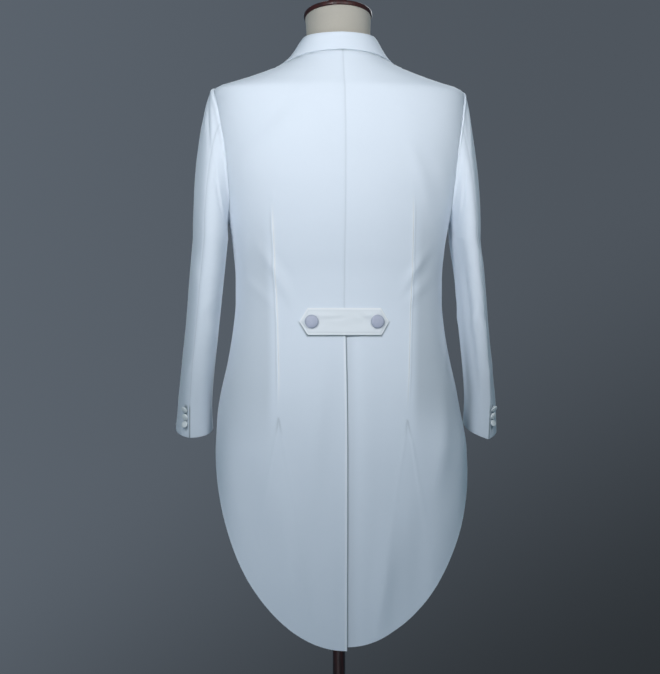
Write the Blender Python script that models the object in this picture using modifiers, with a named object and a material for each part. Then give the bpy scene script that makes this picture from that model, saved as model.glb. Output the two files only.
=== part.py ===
# White tailcoat on a limbless dress form.
# Metres, +Z up, floor at z = 0. The coat faces -Y, its back faces +Y and the wearer's left is +X.
# Every cloth piece is a thin closed wall worked out from one torso surface or one sleeve surface.

import math

import bmesh
import bpy
import numpy as np
from mathutils import Vector

# Cloth and seams
WALL = 0.002
SEAM_GAP = 0.0003
LAID_GAP = 0.0005
LAP_GAP = 0.0012

# Torso heights
NECKLINE_Z = 1.4985
SHOULDER_POINT_Z = 1.432
UNDERARM_Z = 1.197
WAIST_BUTTON_Z = 1.080
ROLL_END_Z = 1.104
FRONT_POINT_Z = 1.052
TAIL_SIDE_Z = 0.810
HEM_Z = 0.472
HEM_RIGHT_RISE = 0.0055
HEM_RIGHT_END_X = 0.150
HEM_RIGHT_FULL_X = 0.075
HEM_SPLIT_Z = 0.862

# Armhole, an oval in the side view
ARMHOLE_BACK = 0.062
ARMHOLE_FRONT = 0.070
ARMHOLE_STEPS = 11
ARMHOLE_Z = (SHOULDER_POINT_Z + UNDERARM_Z) / 2
ARMHOLE_REACH = (SHOULDER_POINT_Z - UNDERARM_Z) / 2

# Small steps to either side that the surfaces' normals are taken from
TURN_STEP = 0.01
RISE_STEP = 0.0015
DOWN_STEP = 0.004
WIDEST_SHARE = 0.9999

# Rows and columns of the panels
BACK_COLS = 8
FRONT_COLS = 11
SHOULDER_ROWS = 7
CHEST_ROWS = 5
SEAT_ROWS = 3
TAIL_ROWS = 9
FRONT_CHEST_ROWS = 4
FRONT_SKIRT_ROWS = 6

# Centre back vent
VENT_TOP_Z = 1.004
VENT_SLANT = 0.020
VENT_OVERLAP = 0.0015
UNDERLAP = 0.030
UNDERLAP_DROP = WALL + LAP_GAP
DROP_TOP_Z = 1.045
DROP_END_X = 0.034
DROP_RAMP = 0.028
SEAT_Z = 0.950

# Front lap at the waist button
FRONT_LAP = 0.013
FRONT_LAP_RAMP = 0.060
LAP_TOP_Z = 1.250
LAP_FULL_Z = 1.120

# Back belt
BELT_HALF_LENGTH = 0.0765
BELT_HALF_STRAIGHT = 0.0625
BELT_HEIGHT = 0.047
BELT_Z = 1.026
BELT_WALL = 0.0026
BELT_BUTTON_X = 0.0555
BELT_BUTTON_Z = 1.0255
BELT_ROWS = 4
BELT_COLS = 14

# Buttons, domed over a round rim. The shares are of the radius or of the height.
BUTTON_DOME_WIDTH = 0.90
BUTTON_DOME_DROP = 0.32
BUTTON_RIM_LOW = 0.45
BUTTON_BACK = 0.86
BUTTON_DIAMETER = 0.0236
BUTTON_HEIGHT = 0.0058
BUTTON_STEPS = 20
CUFF_BUTTONS = 3
CUFF_BUTTON_DIAMETER = 0.0122
CUFF_BUTTON_HEIGHT = 0.0036
CUFF_BUTTON_STEPS = 12
CUFF_BUTTON_PITCH = 0.0128
CUFF_BUTTON_TURN = math.radians(51)
CUFF_BUTTON_DOWN = 1.940

# Sleeves
SLEEVE_TOP_Z = 1.170
CUFF_Z = 0.841
CUFF_TILT = 0.25
HEAD_ROWS = 7
ARM_ROWS = 9
HINDARM_STEP = 4
FOREARM_STEP = 15
SLEEVE_INSET = 0.0004

# Dress form
FORM_GAP = 0.0011
FORM_BOTTOM_Z = 0.800
FORM_SEGMENTS = 32
FORM_UNDERSIDE = ((0.100, 0.055, FORM_BOTTOM_Z), (0.162, 0.088, FORM_BOTTOM_Z + 0.006))
FORM_HEIGHTS = (0.830, 0.865, 0.910, 0.960, 1.015, 1.065, 1.115, 1.165, 1.210, 1.260, 1.310, 1.360,
                1.400, 1.420, 1.431, 1.440, 1.449, 1.458, 1.468, 1.478)
HIP_TUCK = 0.016
HIP_TUCK_Z = 0.865
NECK_TOP_Z = 1.560
NECK_TILT = math.radians(14)
NECK_STRAIGHT_Z = 1.518
NECK_HEIGHTS = (1.4880, 1.4940, 1.5010, 1.5120, 1.5260, 1.5430, NECK_TOP_Z)

# Neck cap and knob
CAP_RADIUS = 0.0585
CAP_HEIGHT = 0.009
CAP_CROWN = 0.002
CAP_LIP = 0.0015
CAP_STEPS = 28
KNOB_HEIGHT = 0.046
KNOB_RADIUS = 0.018
KNOB_STEM_RADIUS = 0.012
KNOB_STEM_TOP = 0.007
KNOB_STEM_FOOT = 0.003

# Stand: radius and height above the pole's foot or below its top, then the base from its middle outwards
POLE_RADIUS = 0.011
POLE_FLANGE_RADIUS = 0.023
POLE_FLANGE = ((POLE_FLANGE_RADIUS, 0.0), (POLE_FLANGE_RADIUS, 0.012), (POLE_RADIUS, 0.020))
POLE_SOCKET = ((POLE_RADIUS, 0.034), (0.015, 0.026), (0.022, 0.010), (0.024, 0.0))
POLE_STEPS = 16
BASE_RADIUS = 0.190
BASE_HEIGHT = 0.034
BASE_FLAT_RADIUS = 0.060
BASE_STEP_RADIUS = 0.160
BASE_STEP_ROUND = 0.022
BASE_STEP_SHARE = 0.62
BASE_RIM_SHARE = 0.32
BASE_BEVEL = 0.003
BASE_STEPS = 40

# Horizontal sections of the torso that the coat is cut to.
# half: half width; back, front: y at the centre lines; mid: y of the widest line; power: roundness
TORSO_COLUMNS = ("z", "half", "back", "front", "mid", "power")
TORSO_SECTIONS = (
    (1.500, 0.0700, 0.0600, -0.050, -0.002, 2.00),
    (1.483, 0.0860, 0.0700, -0.068, -0.004, 2.00),
    (1.467, 0.1185, 0.0790, -0.080, -0.005, 2.00),
    (1.453, 0.1555, 0.0870, -0.090, -0.006, 2.05),
    (1.442, 0.1890, 0.0935, -0.098, -0.006, 2.10),
    (1.435, 0.2110, 0.0980, -0.103, -0.006, 2.20),
    (1.427, 0.2200, 0.1020, -0.107, -0.005, 2.30),
    (1.410, 0.2225, 0.1075, -0.114, -0.004, 2.40),
    (1.370, 0.2225, 0.1150, -0.126, -0.003, 2.50),
    (1.330, 0.2200, 0.1190, -0.135, 0.000, 2.50),
    (1.280, 0.2120, 0.1200, -0.141, 0.000, 2.50),
    (1.240, 0.2030, 0.1180, -0.142, 0.000, 2.45),
    (1.200, 0.1930, 0.1140, -0.140, 0.000, 2.40),
    (1.150, 0.1845, 0.1060, -0.133, 0.000, 2.35),
    (1.100, 0.1805, 0.0970, -0.126, 0.000, 2.30),
    (1.060, 0.1805, 0.0945, -0.122, 0.000, 2.25),
    (1.020, 0.1840, 0.0980, -0.122, 0.000, 2.20),
    (0.960, 0.1940, 0.1110, -0.126, 0.000, 2.20),
    (0.900, 0.2070, 0.1230, -0.131, 0.000, 2.30),
    (0.840, 0.2160, 0.1290, -0.134, 0.000, 2.35),
    (0.800, 0.2195, 0.1305, -0.135, 0.000, 2.35),
    (0.700, 0.2210, 0.1295, -0.135, 0.000, 2.35),
    (0.580, 0.2215, 0.1270, -0.135, 0.000, 2.35),
    (0.440, 0.2215, 0.1240, -0.135, 0.000, 2.35),
)

# Horizontal sections of each sleeve below the armhole, as on the left side. The right one hangs slimmer.
SLEEVE_COLUMNS = ("z", "x", "y", "half_x", "half_y")
SLEEVE_SECTIONS = {
    "left": (
        (1.170, 0.2245, 0.000, 0.0305, 0.0780),
        (1.100, 0.2310, -0.003, 0.0300, 0.0760),
        (1.020, 0.2380, -0.010, 0.0290, 0.0720),
        (0.940, 0.2460, -0.022, 0.0290, 0.0650),
        (0.880, 0.2505, -0.033, 0.0300, 0.0580),
        (0.820, 0.2515, -0.045, 0.0345, 0.0520),
    ),
    "right": (
        (1.170, 0.2222, 0.000, 0.0242, 0.0780),
        (1.100, 0.2315, -0.003, 0.0228, 0.0760),
        (1.020, 0.2392, -0.010, 0.0230, 0.0720),
        (0.940, 0.2490, -0.022, 0.0236, 0.0650),
        (0.880, 0.2550, -0.033, 0.0260, 0.0580),
        (0.820, 0.2560, -0.045, 0.0300, 0.0520),
    ),
}
SLEEVE_POWER = 2.25
HEAD_SWELL = {"left": 0.0125, "right": 0.0020}
HEAD_LEAVE = 0.004
HEAD_LIFT = 0.003
HEAD_ARRIVE = 0.010
HEAD_DROP = 0.118
HEAD_DROP_POWER = 1.3

# Front roll line: distance of the fold from the centre line
ROLL_COLUMNS = ("z", "x")
ROLL_LINE = (
    (1.4985, 0.0690),
    (1.485, 0.0720),
    (1.449, 0.0690),
    (1.350, 0.0520),
    (1.220, 0.0220),
    (ROLL_END_Z, -FRONT_LAP),
)

# Collar stations from the centre back to the gorge, the left half.
# angle, edge_angle: degrees from the centre back at the neckline and at the leaf's free edge
COLLAR_COLUMNS = ("station", "angle", "z", "lift", "lean", "edge_angle", "edge_z")
COLLAR_STATIONS = (
    (0.00, 0.0, 1.4992, 0.0235, 0.0035, 0.0, 1.4935),
    (0.25, 42.0, 1.4992, 0.0225, -0.0005, 42.0, 1.4895),
    (0.50, 88.0, 1.4992, 0.0195, -0.0070, 88.0, 1.4775),
    (0.75, 126.0, 1.4800, 0.0100, 0.0000, 113.0, 1.4575),
    (1.00, 140.5, 1.4495, 0.0042, 0.0000, 128.0, 1.4325),
)
COLLAR_SIDE = 0.5
COLLAR_SECTIONS = 15
COLLAR_GAP = 0.0009

# Where the strip stands up, it goes by the lift; shares down the leaf's outer and inner side
STAND_LIFT = 0.005
STAND_LIFT_RAMP = 0.012
LEAF_OUTSIDE = (0.12, 0.35, 0.60, 0.82, 1.00)
LEAF_INSIDE = (1.00, 0.82, 0.60, 0.35, 0.16)
LEAF_FALL = 1.15

# Points round the stand and the fold: way towards the leaf and way up, from the middle of the strip
FOOT_LIFT = 0.0014
FOOT_TUCK = 0.0008
FOOT_IN = -0.0010
FOOT_OUT = 0.0008
STAND_IN = -0.0012
STAND_OUT = 0.0006
FOLD_IN = (-0.0012, 0.0004)
FOLD_TOP = (0.0006, 0.0012)
FOLD_UNDER = (0.0006, -0.0008)

# Lapel: distance of its free edge from the centre line, from the gorge down to the waist button
LAPEL_COLUMNS = ("down", "x")
LAPEL_EDGE = (
    (0.00, 0.1420),
    (0.10, 0.1340),
    (0.25, 0.1220),
    (0.50, 0.0880),
    (0.75, 0.0470),
    (0.92, 0.0080),
    (1.00, -0.0080),
)
LAPEL_PEAK_RISE = 0.0130
LAPEL_PEAK_LIFT = 0.0056
GORGE_GAP = 0.0012
GORGE_POINTS = 9
LAPEL_ROWS = 15
LAPEL_COLS = 4
LAPEL_GAP = 0.0009
LAPEL_ROLL = 0.0012
LAPEL_START = 0.001
LAPEL_UNDER_START = 0.004
LAPEL_MIN_WIDTH = 0.003

# Room between the coat's wall and the form, by height
EASE_COLUMNS = ("z", "ease")
FORM_EASE = (
    (1.490, 0.0),
    (1.440, 0.0),
    (1.380, 0.003),
    (1.250, 0.005),
    (1.100, 0.010),
    (1.000, 0.014),
    (0.900, 0.020),
    (0.790, 0.030),
)
# More room at the armhole's sides: sine of the angle where it starts, and heights
ARMHOLE_EASE = 0.012
ARMHOLE_EASE_FROM = 0.55
ARMHOLE_EASE_RAMP = 0.35
ARMHOLE_EASE_TOP_Z = 1.452
ARMHOLE_EASE_TOP_RAMP = 0.022
ARMHOLE_EASE_LOW_Z = 1.150
ARMHOLE_EASE_LOW_RAMP = 0.040

# Neck of the form above the shoulders
NECK_COLUMNS = ("z", "half_x", "half_y", "y")
FORM_NECK = (
    (1.4880, 0.0740, 0.0600, -0.003),
    (1.4980, 0.0615, 0.0545, -0.004),
    (1.5120, 0.0570, 0.0535, -0.006),
    (1.5260, 0.0560, 0.0545, -0.009),
    (1.5430, 0.0565, 0.0560, -0.013),
    (NECK_TOP_Z, 0.0575, 0.0575, -0.017),
)

COAT_WHITE = (0.86, 0.89, 0.93)
BUTTON_SATIN = (0.62, 0.63, 0.70)
FORM_LINEN = (0.66, 0.62, 0.55)
LACQUER_RED = (0.13, 0.03, 0.025)


def column(sections, names, name, at):
    # Reads one column of a table at any height, on a smooth curve that never overshoots.
    rows = sorted(sections)
    knots = [row[0] for row in rows]
    values = [row[names.index(name)] for row in rows]
    if at <= knots[0]:
        return values[0]
    if at >= knots[-1]:
        return values[-1]
    slopes = [(values[i + 1] - values[i]) / (knots[i + 1] - knots[i]) for i in range(len(knots) - 1)]
    tangents = [slopes[0]]
    for before, after in zip(slopes, slopes[1:]):
        same_way = before * after > 0
        tangents.append(2 * before * after / (before + after) if same_way else 0.0)
    tangents.append(slopes[-1])
    i = max(k for k in range(len(knots) - 1) if knots[k] <= at)
    span = knots[i + 1] - knots[i]
    t = (at - knots[i]) / span
    return (
        (2 * t**3 - 3 * t**2 + 1) * values[i]
        + (t**3 - 2 * t**2 + t) * span * tangents[i]
        + (3 * t**2 - 2 * t**3) * values[i + 1]
        + (t**3 - t**2) * span * tangents[i + 1]
    )


def smooth_step(value):
    t = min(max(value, 0.0), 1.0)
    return t * t * (3 - 2 * t)


def lerp(a, b, t):
    return a + (b - a) * t


def torso(name, z):
    return column(TORSO_SECTIONS, TORSO_COLUMNS, name, z)


def torso_base(angle, z):
    # Point of the torso surface at an angle from the centre back, positive towards +X.
    half = torso("half", z)
    mid = torso("mid", z)
    power = torso("power", z)
    side = abs(math.sin(angle))
    along = math.cos(angle)
    depth = torso("back", z) - mid if along > 0 else mid - torso("front", z)
    radius = ((side / half) ** power + (abs(along) / depth) ** power) ** (-1 / power)
    return Vector((radius * math.sin(angle), mid + radius * along, z))


def torso_normal(angle, z):
    around = torso_base(angle + TURN_STEP, z) - torso_base(angle - TURN_STEP, z)
    up = torso_base(angle, z + RISE_STEP) - torso_base(angle, z - RISE_STEP)
    normal = up.cross(around)
    centre = Vector((0.0, torso("mid", z), z))
    if normal.dot(torso_base(angle, z) - centre) < 0:
        normal.negate()
    return normal.normalized()


def torso_point(angle, z, out=0.0):
    return torso_base(angle, z) + torso_normal(angle, z) * out


def angle_at_x(x, z, front):
    # Angle of the torso point that lies at a given x, on the back or on the front.
    half = torso("half", z)
    mid = torso("mid", z)
    power = torso("power", z)
    share = min(abs(x) / half, WIDEST_SHARE)
    rest = (1 - share**power) ** (1 / power)
    if front:
        y = -(mid - torso("front", z)) * rest
        angle = math.atan2(abs(x), y)
        return angle if x >= 0 else 2 * math.pi - angle
    y = (torso("back", z) - mid) * rest
    return math.atan2(x, y)


def angle_at_depth(depth, z, front):
    # Angle of the torso point that lies a given way behind or before its widest line.
    mid = torso("mid", z)
    power = torso("power", z)
    reach = mid - torso("front", z) if front else torso("back", z) - mid
    share = min(abs(depth) / reach, WIDEST_SHARE)
    x = torso("half", z) * (1 - share**power) ** (1 / power)
    return math.atan2(x, -depth if front else depth)


def hem_z(angle, right):
    # Height of the coat's lower edge: round tails behind, cut away to the waist in front.
    # The right tail ends a little higher beside the vent.
    x = abs(torso_base(angle, TAIL_SIDE_Z).x)
    share = min(x / torso("half", TAIL_SIDE_Z), 1.0)
    rise = math.sqrt(1 - share * share)
    if math.cos(angle) >= 0:
        near_vent = smooth_step((HEM_RIGHT_END_X - x) / (HEM_RIGHT_END_X - HEM_RIGHT_FULL_X))
        shorter = HEM_RIGHT_RISE * near_vent if right else 0.0
        return TAIL_SIDE_Z - (TAIL_SIDE_Z - HEM_Z) * rise + shorter
    return TAIL_SIDE_Z + (FRONT_POINT_Z - TAIL_SIDE_Z) * rise


def armhole_heights():
    return [ARMHOLE_Z + ARMHOLE_REACH * math.cos(math.pi * k / ARMHOLE_STEPS)
            for k in range(ARMHOLE_STEPS + 1)]


def armhole_depth(z, front):
    share = min(abs(z - ARMHOLE_Z) / ARMHOLE_REACH, 1.0)
    return (ARMHOLE_FRONT if front else ARMHOLE_BACK) * math.sqrt(1 - share * share)


def make_material(name, colour, roughness, metallic=0.0):
    material = bpy.data.materials.new(name)
    material.use_nodes = True
    shader = material.node_tree.nodes["Principled BSDF"]
    shader.inputs["Base Color"].default_value = (*colour, 1.0)
    shader.inputs["Roughness"].default_value = roughness
    shader.inputs["Metallic"].default_value = metallic
    return material


def add_object(name, mesh, material, parts):
    mesh.materials.append(material)
    thing = bpy.data.objects.new(name, mesh)
    parts.objects.link(thing)
    mesh.shade_smooth()
    mesh.set_sharp_from_angle(angle=math.radians(40))
    return thing


def closed_mesh(name, points, faces):
    mesh = bpy.data.meshes.new(name)
    mesh.from_pydata([tuple(point) for point in points], [], faces)
    shell = bmesh.new()
    shell.from_mesh(mesh)
    bmesh.ops.recalc_face_normals(shell, faces=shell.faces)
    shell.to_mesh(mesh)
    shell.free()
    return mesh


def wall_mesh(name, outer, inner):
    # Closes an outer and an inner grid of points into one thin wall.
    rows = len(outer)
    cols = len(outer[0])
    points = [point for row in outer for point in row] + [point for row in inner for point in row]
    count = rows * cols

    def at(i, j, layer):
        return layer * count + i * cols + j

    faces = []
    for i in range(rows - 1):
        for j in range(cols - 1):
            faces.append((at(i, j, 0), at(i, j + 1, 0), at(i + 1, j + 1, 0), at(i + 1, j, 0)))
            faces.append((at(i, j, 1), at(i + 1, j, 1), at(i + 1, j + 1, 1), at(i, j + 1, 1)))
    for i in range(rows - 1):
        for j in (0, cols - 1):
            faces.append((at(i, j, 0), at(i + 1, j, 0), at(i + 1, j, 1), at(i, j, 1)))
    for j in range(cols - 1):
        for i in (0, rows - 1):
            faces.append((at(i, j, 0), at(i, j, 1), at(i, j + 1, 1), at(i, j + 1, 0)))
    return closed_mesh(name, points, faces)


def loft_mesh(name, loops):
    # Joins closed loops of points into one solid with a flat cap at each end.
    cols = len(loops[0])
    points = [point for loop in loops for point in loop]
    faces = []
    for i in range(len(loops) - 1):
        for j in range(cols):
            k = (j + 1) % cols
            faces.append((i * cols + j, i * cols + k, (i + 1) * cols + k, (i + 1) * cols + j))
    faces.append(tuple(range(cols)))
    faces.append(tuple((len(loops) - 1) * cols + j for j in range(cols)))
    return closed_mesh(name, points, faces)


def mirrored(points):
    return [[Vector((-point.x, point.y, point.z)) for point in row] for row in points]


# Back

def shoulder_heights():
    return list(np.linspace(NECKLINE_Z, SHOULDER_POINT_Z, SHOULDER_ROWS, endpoint=False))


def back_heights():
    chest = list(np.linspace(UNDERARM_Z, DROP_TOP_Z, CHEST_ROWS + 1)[1:])
    vent = [(DROP_TOP_Z + VENT_TOP_Z) / 2, VENT_TOP_Z, VENT_TOP_Z - VENT_SLANT]
    seat = list(np.linspace(SEAT_Z, HEM_SPLIT_Z, SEAT_ROWS))
    return shoulder_heights() + armhole_heights() + chest + vent + seat


def back_side_angle(z):
    gap = SEAM_GAP / 2 / torso("half", z)
    if z > SHOULDER_POINT_Z or z < UNDERARM_Z:
        return math.pi / 2 - gap
    return angle_at_depth(armhole_depth(z, False), z, False) - gap


def back_panel(right):
    # Built on the wearer's left; the right panel is mirrored, and goes under at the vent.
    def centre_x(z):
        if z >= VENT_TOP_Z:
            return SEAM_GAP / 2
        if right:
            return -UNDERLAP * smooth_step((VENT_TOP_Z - z) / VENT_SLANT)
        return -VENT_OVERLAP

    def drop(x, z):
        if not right:
            return 0.0
        down = smooth_step((DROP_TOP_Z - z) / (DROP_TOP_Z - VENT_TOP_Z))
        return -UNDERLAP_DROP * down * smooth_step((DROP_END_X - x) / DROP_RAMP)

    outer = []
    inner = []

    def add_row(angles, heights):
        spots = [(a, z, drop(torso_base(a, z).x, z)) for a, z in zip(angles, heights)]
        outer.append([torso_point(a, z, out) for a, z, out in spots])
        inner.append([torso_point(a, z, out - WALL) for a, z, out in spots])

    for z in back_heights():
        low = angle_at_x(centre_x(z), z, False)
        angles = np.linspace(low, back_side_angle(z), BACK_COLS + 1)
        add_row(angles, [z] * len(angles))
    for i in range(1, TAIL_ROWS + 1):
        add_row(angles, [lerp(HEM_SPLIT_Z, hem_z(a, right), i / TAIL_ROWS) for a in angles])
    if right:
        return mirrored(outer), mirrored(inner)
    return outer, inner


# Front

def roll_x(z):
    return column(ROLL_LINE, ROLL_COLUMNS, "x", z)


def front_side_angle(z):
    gap = SEAM_GAP / 2 / torso("half", z)
    if z > SHOULDER_POINT_Z or z < UNDERARM_Z:
        return math.pi / 2 + gap
    return angle_at_depth(armhole_depth(z, True), z, True) + gap


def front_panel(over):
    # Built on the wearer's left, which laps over; the right front goes under it.
    def raise_at(x):
        ramp = smooth_step((FRONT_LAP + FRONT_LAP_RAMP - x) / FRONT_LAP_RAMP)
        return (WALL + LAP_GAP) * ramp if over else 0.0

    outer = []
    inner = []

    def add_row(angles, heights):
        spots = []
        for a, z in zip(angles, heights):
            near_waist = smooth_step((LAP_TOP_Z - z) / (LAP_TOP_Z - LAP_FULL_Z))
            spots.append((a, z, raise_at(torso_base(a, z).x) * near_waist))
        outer.append([torso_point(a, z, out) for a, z, out in spots])
        inner.append([torso_point(a, z, out - WALL) for a, z, out in spots])

    def row_angles(z):
        return np.linspace(front_side_angle(z), angle_at_x(roll_x(z), z, True), FRONT_COLS + 1)

    chest = list(np.linspace(UNDERARM_Z, ROLL_END_Z, FRONT_CHEST_ROWS + 1)[1:])
    for z in shoulder_heights() + armhole_heights() + chest:
        add_row(row_angles(z), [z] * (FRONT_COLS + 1))
    angles = row_angles(ROLL_END_Z)
    for i in range(1, FRONT_SKIRT_ROWS + 1):
        add_row(angles, [lerp(ROLL_END_Z, hem_z(a, False), i / FRONT_SKIRT_ROWS) for a in angles])
    if over:
        return outer, inner
    return mirrored(outer), mirrored(inner)


# Sleeves

def sleeve(side, name, z):
    return column(SLEEVE_SECTIONS[side], SLEEVE_COLUMNS, name, z)


def sleeve_section(side, turn, z):
    # turn: 0 on the outer side, a quarter turn at the back, half a turn under the arm
    power = SLEEVE_POWER
    across = math.cos(turn)
    along = math.sin(turn)
    half_x = sleeve(side, "half_x", z)
    half_y = sleeve(side, "half_y", z)
    radius = ((abs(across) / half_x) ** power + (abs(along) / half_y) ** power) ** (-1 / power)
    return Vector((sleeve(side, "x", z) + radius * across, sleeve(side, "y", z) + radius * along, z))


def section_turn(side, turn):
    # Spreads the points of a flat section evenly along it.
    wide = sleeve(side, "half_y", SLEEVE_TOP_Z)
    narrow = sleeve(side, "half_x", SLEEVE_TOP_Z)
    return math.atan2(math.sin(turn) * wide, math.cos(turn) * narrow)


def armhole_point(turn):
    z = ARMHOLE_Z + (ARMHOLE_REACH - SLEEVE_INSET) * math.cos(turn)
    front = math.sin(turn) < 0
    depth = ((ARMHOLE_FRONT if front else ARMHOLE_BACK) - SLEEVE_INSET) * abs(math.sin(turn))
    edge = torso_base(angle_at_depth(depth, z, front), z)
    return edge + Vector((SLEEVE_INSET, 0.0, 0.0))


def sleeve_point(side, turn, down):
    # down: 0 at the armhole, 1 at the top section, 2 at the cuff's edge
    spread = section_turn(side, turn)
    if down <= 1:
        start = armhole_point(turn)
        end = sleeve_section(side, spread, SLEEVE_TOP_Z)
        top = (1 + math.cos(turn)) / 2
        leave = start + Vector((HEAD_LEAVE + HEAD_SWELL[side] * top, 0.0, HEAD_LIFT * top))
        arrive = end + Vector((0.0, 0.0, HEAD_ARRIVE + HEAD_DROP * top**HEAD_DROP_POWER))
        up = 1 - down
        return up**3 * start + 3 * up**2 * down * leave + 3 * up * down**2 * arrive + down**3 * end
    cuff = sleeve_section(side, spread, CUFF_Z)
    cuff_z = CUFF_Z - CUFF_TILT * (cuff.y - sleeve(side, "y", CUFF_Z))
    return sleeve_section(side, spread, lerp(SLEEVE_TOP_Z, cuff_z, down - 1))


def sleeve_normal(side, turn, down):
    # Points into the sleeve.
    low = max(down - DOWN_STEP, 0.0)
    high = min(down + DOWN_STEP, 2.0)
    if down <= 1:
        high = min(high, 1.0)
    else:
        low = max(low, 1.0)
    along = sleeve_point(side, turn, high) - sleeve_point(side, turn, low)
    around = sleeve_point(side, turn + TURN_STEP, down) - sleeve_point(side, turn - TURN_STEP, down)
    return around.cross(along).normalized()


def sleeve_offset(side, turn, down, out):
    return sleeve_point(side, turn, down) - sleeve_normal(side, turn, down) * out


def sleeve_half(side, first, last):
    step = math.pi / ARMHOLE_STEPS
    gap = SEAM_GAP / 2 / ARMHOLE_FRONT
    turns = [first * step + gap] + [k * step for k in range(first + 1, last)] + [last * step - gap]
    downs = [i / HEAD_ROWS for i in range(HEAD_ROWS)] + [1 + i / ARM_ROWS for i in range(ARM_ROWS + 1)]
    outer = [[sleeve_offset(side, t, d, 0.0) for t in turns] for d in downs]
    inner = [[sleeve_offset(side, t, d, -WALL) for t in turns] for d in downs]
    if side == "left":
        return outer, inner
    return mirrored(outer), mirrored(inner)


# Collar and lapels

def collar_station(name, at):
    return column(COLLAR_STATIONS, COLLAR_COLUMNS, name, at)


def collar_section(at):
    # One closed loop through the stand, the fold and the leaf.
    if at <= COLLAR_SIDE:
        neck_angle = math.radians(collar_station("angle", at))
    else:
        neck_angle = angle_at_x(roll_x(collar_station("z", at)), collar_station("z", at), True)
    neck_z = collar_station("z", at)
    edge_angle = math.radians(collar_station("edge_angle", at))
    edge_z = collar_station("edge_z", at)
    neck = torso_base(neck_angle, neck_z)
    normal = torso_normal(neck_angle, neck_z)
    away = Vector((math.sin(neck_angle), math.cos(neck_angle), 0.0))
    stand = smooth_step((collar_station("lift", at) - STAND_LIFT) / STAND_LIFT_RAMP)
    lateral = (torso_base(edge_angle, edge_z) - neck).normalized()
    side = lerp(lateral, away, stand).normalized()
    rise = lerp(normal, Vector((0.0, 0.0, 1.0)), stand).normalized()
    fold = neck + rise * collar_station("lift", at) + away * collar_station("lean", at)
    lift = fold - torso_point(neck_angle, neck_z, COLLAR_GAP)

    def leaf(share, out):
        angle = lerp(neck_angle, edge_angle, share)
        z = lerp(neck_z, edge_z, share)
        thick = (torso_normal(angle, z) + away * (1 - share) * stand).normalized() * out
        return torso_point(angle, z, COLLAR_GAP) + lift * (1 - share) ** LEAF_FALL + thick

    foot = neck + rise * FOOT_LIFT - away * (FOOT_TUCK * stand)
    middle = lerp(foot, fold, 0.5)
    outside = [leaf(share, WALL) for share in LEAF_OUTSIDE]
    inside = [leaf(share, 0.0) for share in LEAF_INSIDE]
    crown_in, crown, throat = (fold + side * x + rise * z for x, z in (FOLD_IN, FOLD_TOP, FOLD_UNDER))
    return [foot + side * FOOT_IN, middle + side * STAND_IN, crown_in, crown, *outside, *inside, throat,
            middle + side * STAND_OUT, foot + side * FOOT_OUT]


def collar_loops():
    left = [collar_section(i / COLLAR_SECTIONS) for i in range(COLLAR_SECTIONS + 1)]
    right = mirrored(left[1:])
    return list(reversed(right)) + left


def lapel_top(x):
    # Height of the lapel's upper edge: along the gorge under the collar's end, then up to the peak.
    first = angle_at_x(roll_x(collar_station("z", 1)), collar_station("z", 1), True)
    last = math.radians(collar_station("edge_angle", 1))
    shares = np.linspace(0, 1, GORGE_POINTS)
    heights = [lerp(collar_station("z", 1), collar_station("edge_z", 1), s) for s in shares]
    places = [torso_base(lerp(first, last, s), z).x for s, z in zip(shares, heights)]
    if x <= places[-1]:
        return float(np.interp(x, places, heights)) - GORGE_GAP
    climb = (x - places[-1]) / (LAPEL_EDGE[0][1] - places[-1])
    return heights[-1] - GORGE_GAP + LAPEL_PEAK_RISE * climb


def lapel_grid(over):
    top_z = lapel_top(roll_x(collar_station("z", 1)))
    start = roll_x(top_z) - LAPEL_START

    def point(down, across, out):
        line_z = lerp(top_z, ROLL_END_Z, down)
        top_x = lerp(start, LAPEL_EDGE[0][1], across)
        z = line_z + (lapel_top(top_x) - top_z) * (1 - down) ** 4
        inner_x = roll_x(line_z) - LAPEL_START
        if not over:
            inner_x = max(inner_x, LAPEL_UNDER_START - roll_x(line_z))
        edge_x = max(column(LAPEL_EDGE, LAPEL_COLUMNS, "x", down), inner_x + LAPEL_MIN_WIDTH)
        x = lerp(inner_x, edge_x, across)
        lap = smooth_step((FRONT_LAP + FRONT_LAP_RAMP - x) / FRONT_LAP_RAMP) if over else 0.0
        lap *= (WALL + LAP_GAP) * smooth_step((LAP_TOP_Z - z) / (LAP_TOP_Z - LAP_FULL_Z))
        proud = LAPEL_GAP + LAPEL_ROLL * (1 - across) ** 2 * (1 - down)
        proud += LAPEL_PEAK_LIFT * across * (1 - down) ** 3
        return torso_point(angle_at_x(x, z, True), z, lap + proud + out)

    downs = [i / LAPEL_ROWS for i in range(LAPEL_ROWS + 1)]
    tip = torso_base(math.radians(collar_station("edge_angle", 1)), collar_station("edge_z", 1)).x
    notch = (tip - start) / (LAPEL_EDGE[0][1] - start)
    shares = list(np.linspace(0, notch, LAPEL_COLS + 1)) + list(np.linspace(notch, 1, LAPEL_COLS + 1)[1:])
    outer = [[point(d, s, WALL) for s in shares] for d in downs]
    inner = [[point(d, s, 0.0) for s in shares] for d in downs]
    if over:
        return outer, inner
    return mirrored(outer), mirrored(inner)


# Belt and buttons

def belt_grid():
    def point(i, j, out):
        height = 1 - 2 * i / BELT_ROWS
        length = lerp(BELT_HALF_LENGTH, BELT_HALF_STRAIGHT, abs(height))
        x = length * (2 * j / BELT_COLS - 1)
        z = BELT_Z + height * BELT_HEIGHT / 2
        return torso_point(angle_at_x(x, z, False), z, LAID_GAP + out)

    outer = [[point(i, j, BELT_WALL) for j in range(BELT_COLS + 1)] for i in range(BELT_ROWS + 1)]
    inner = [[point(i, j, 0.0) for j in range(BELT_COLS + 1)] for i in range(BELT_ROWS + 1)]
    return outer, inner


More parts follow.
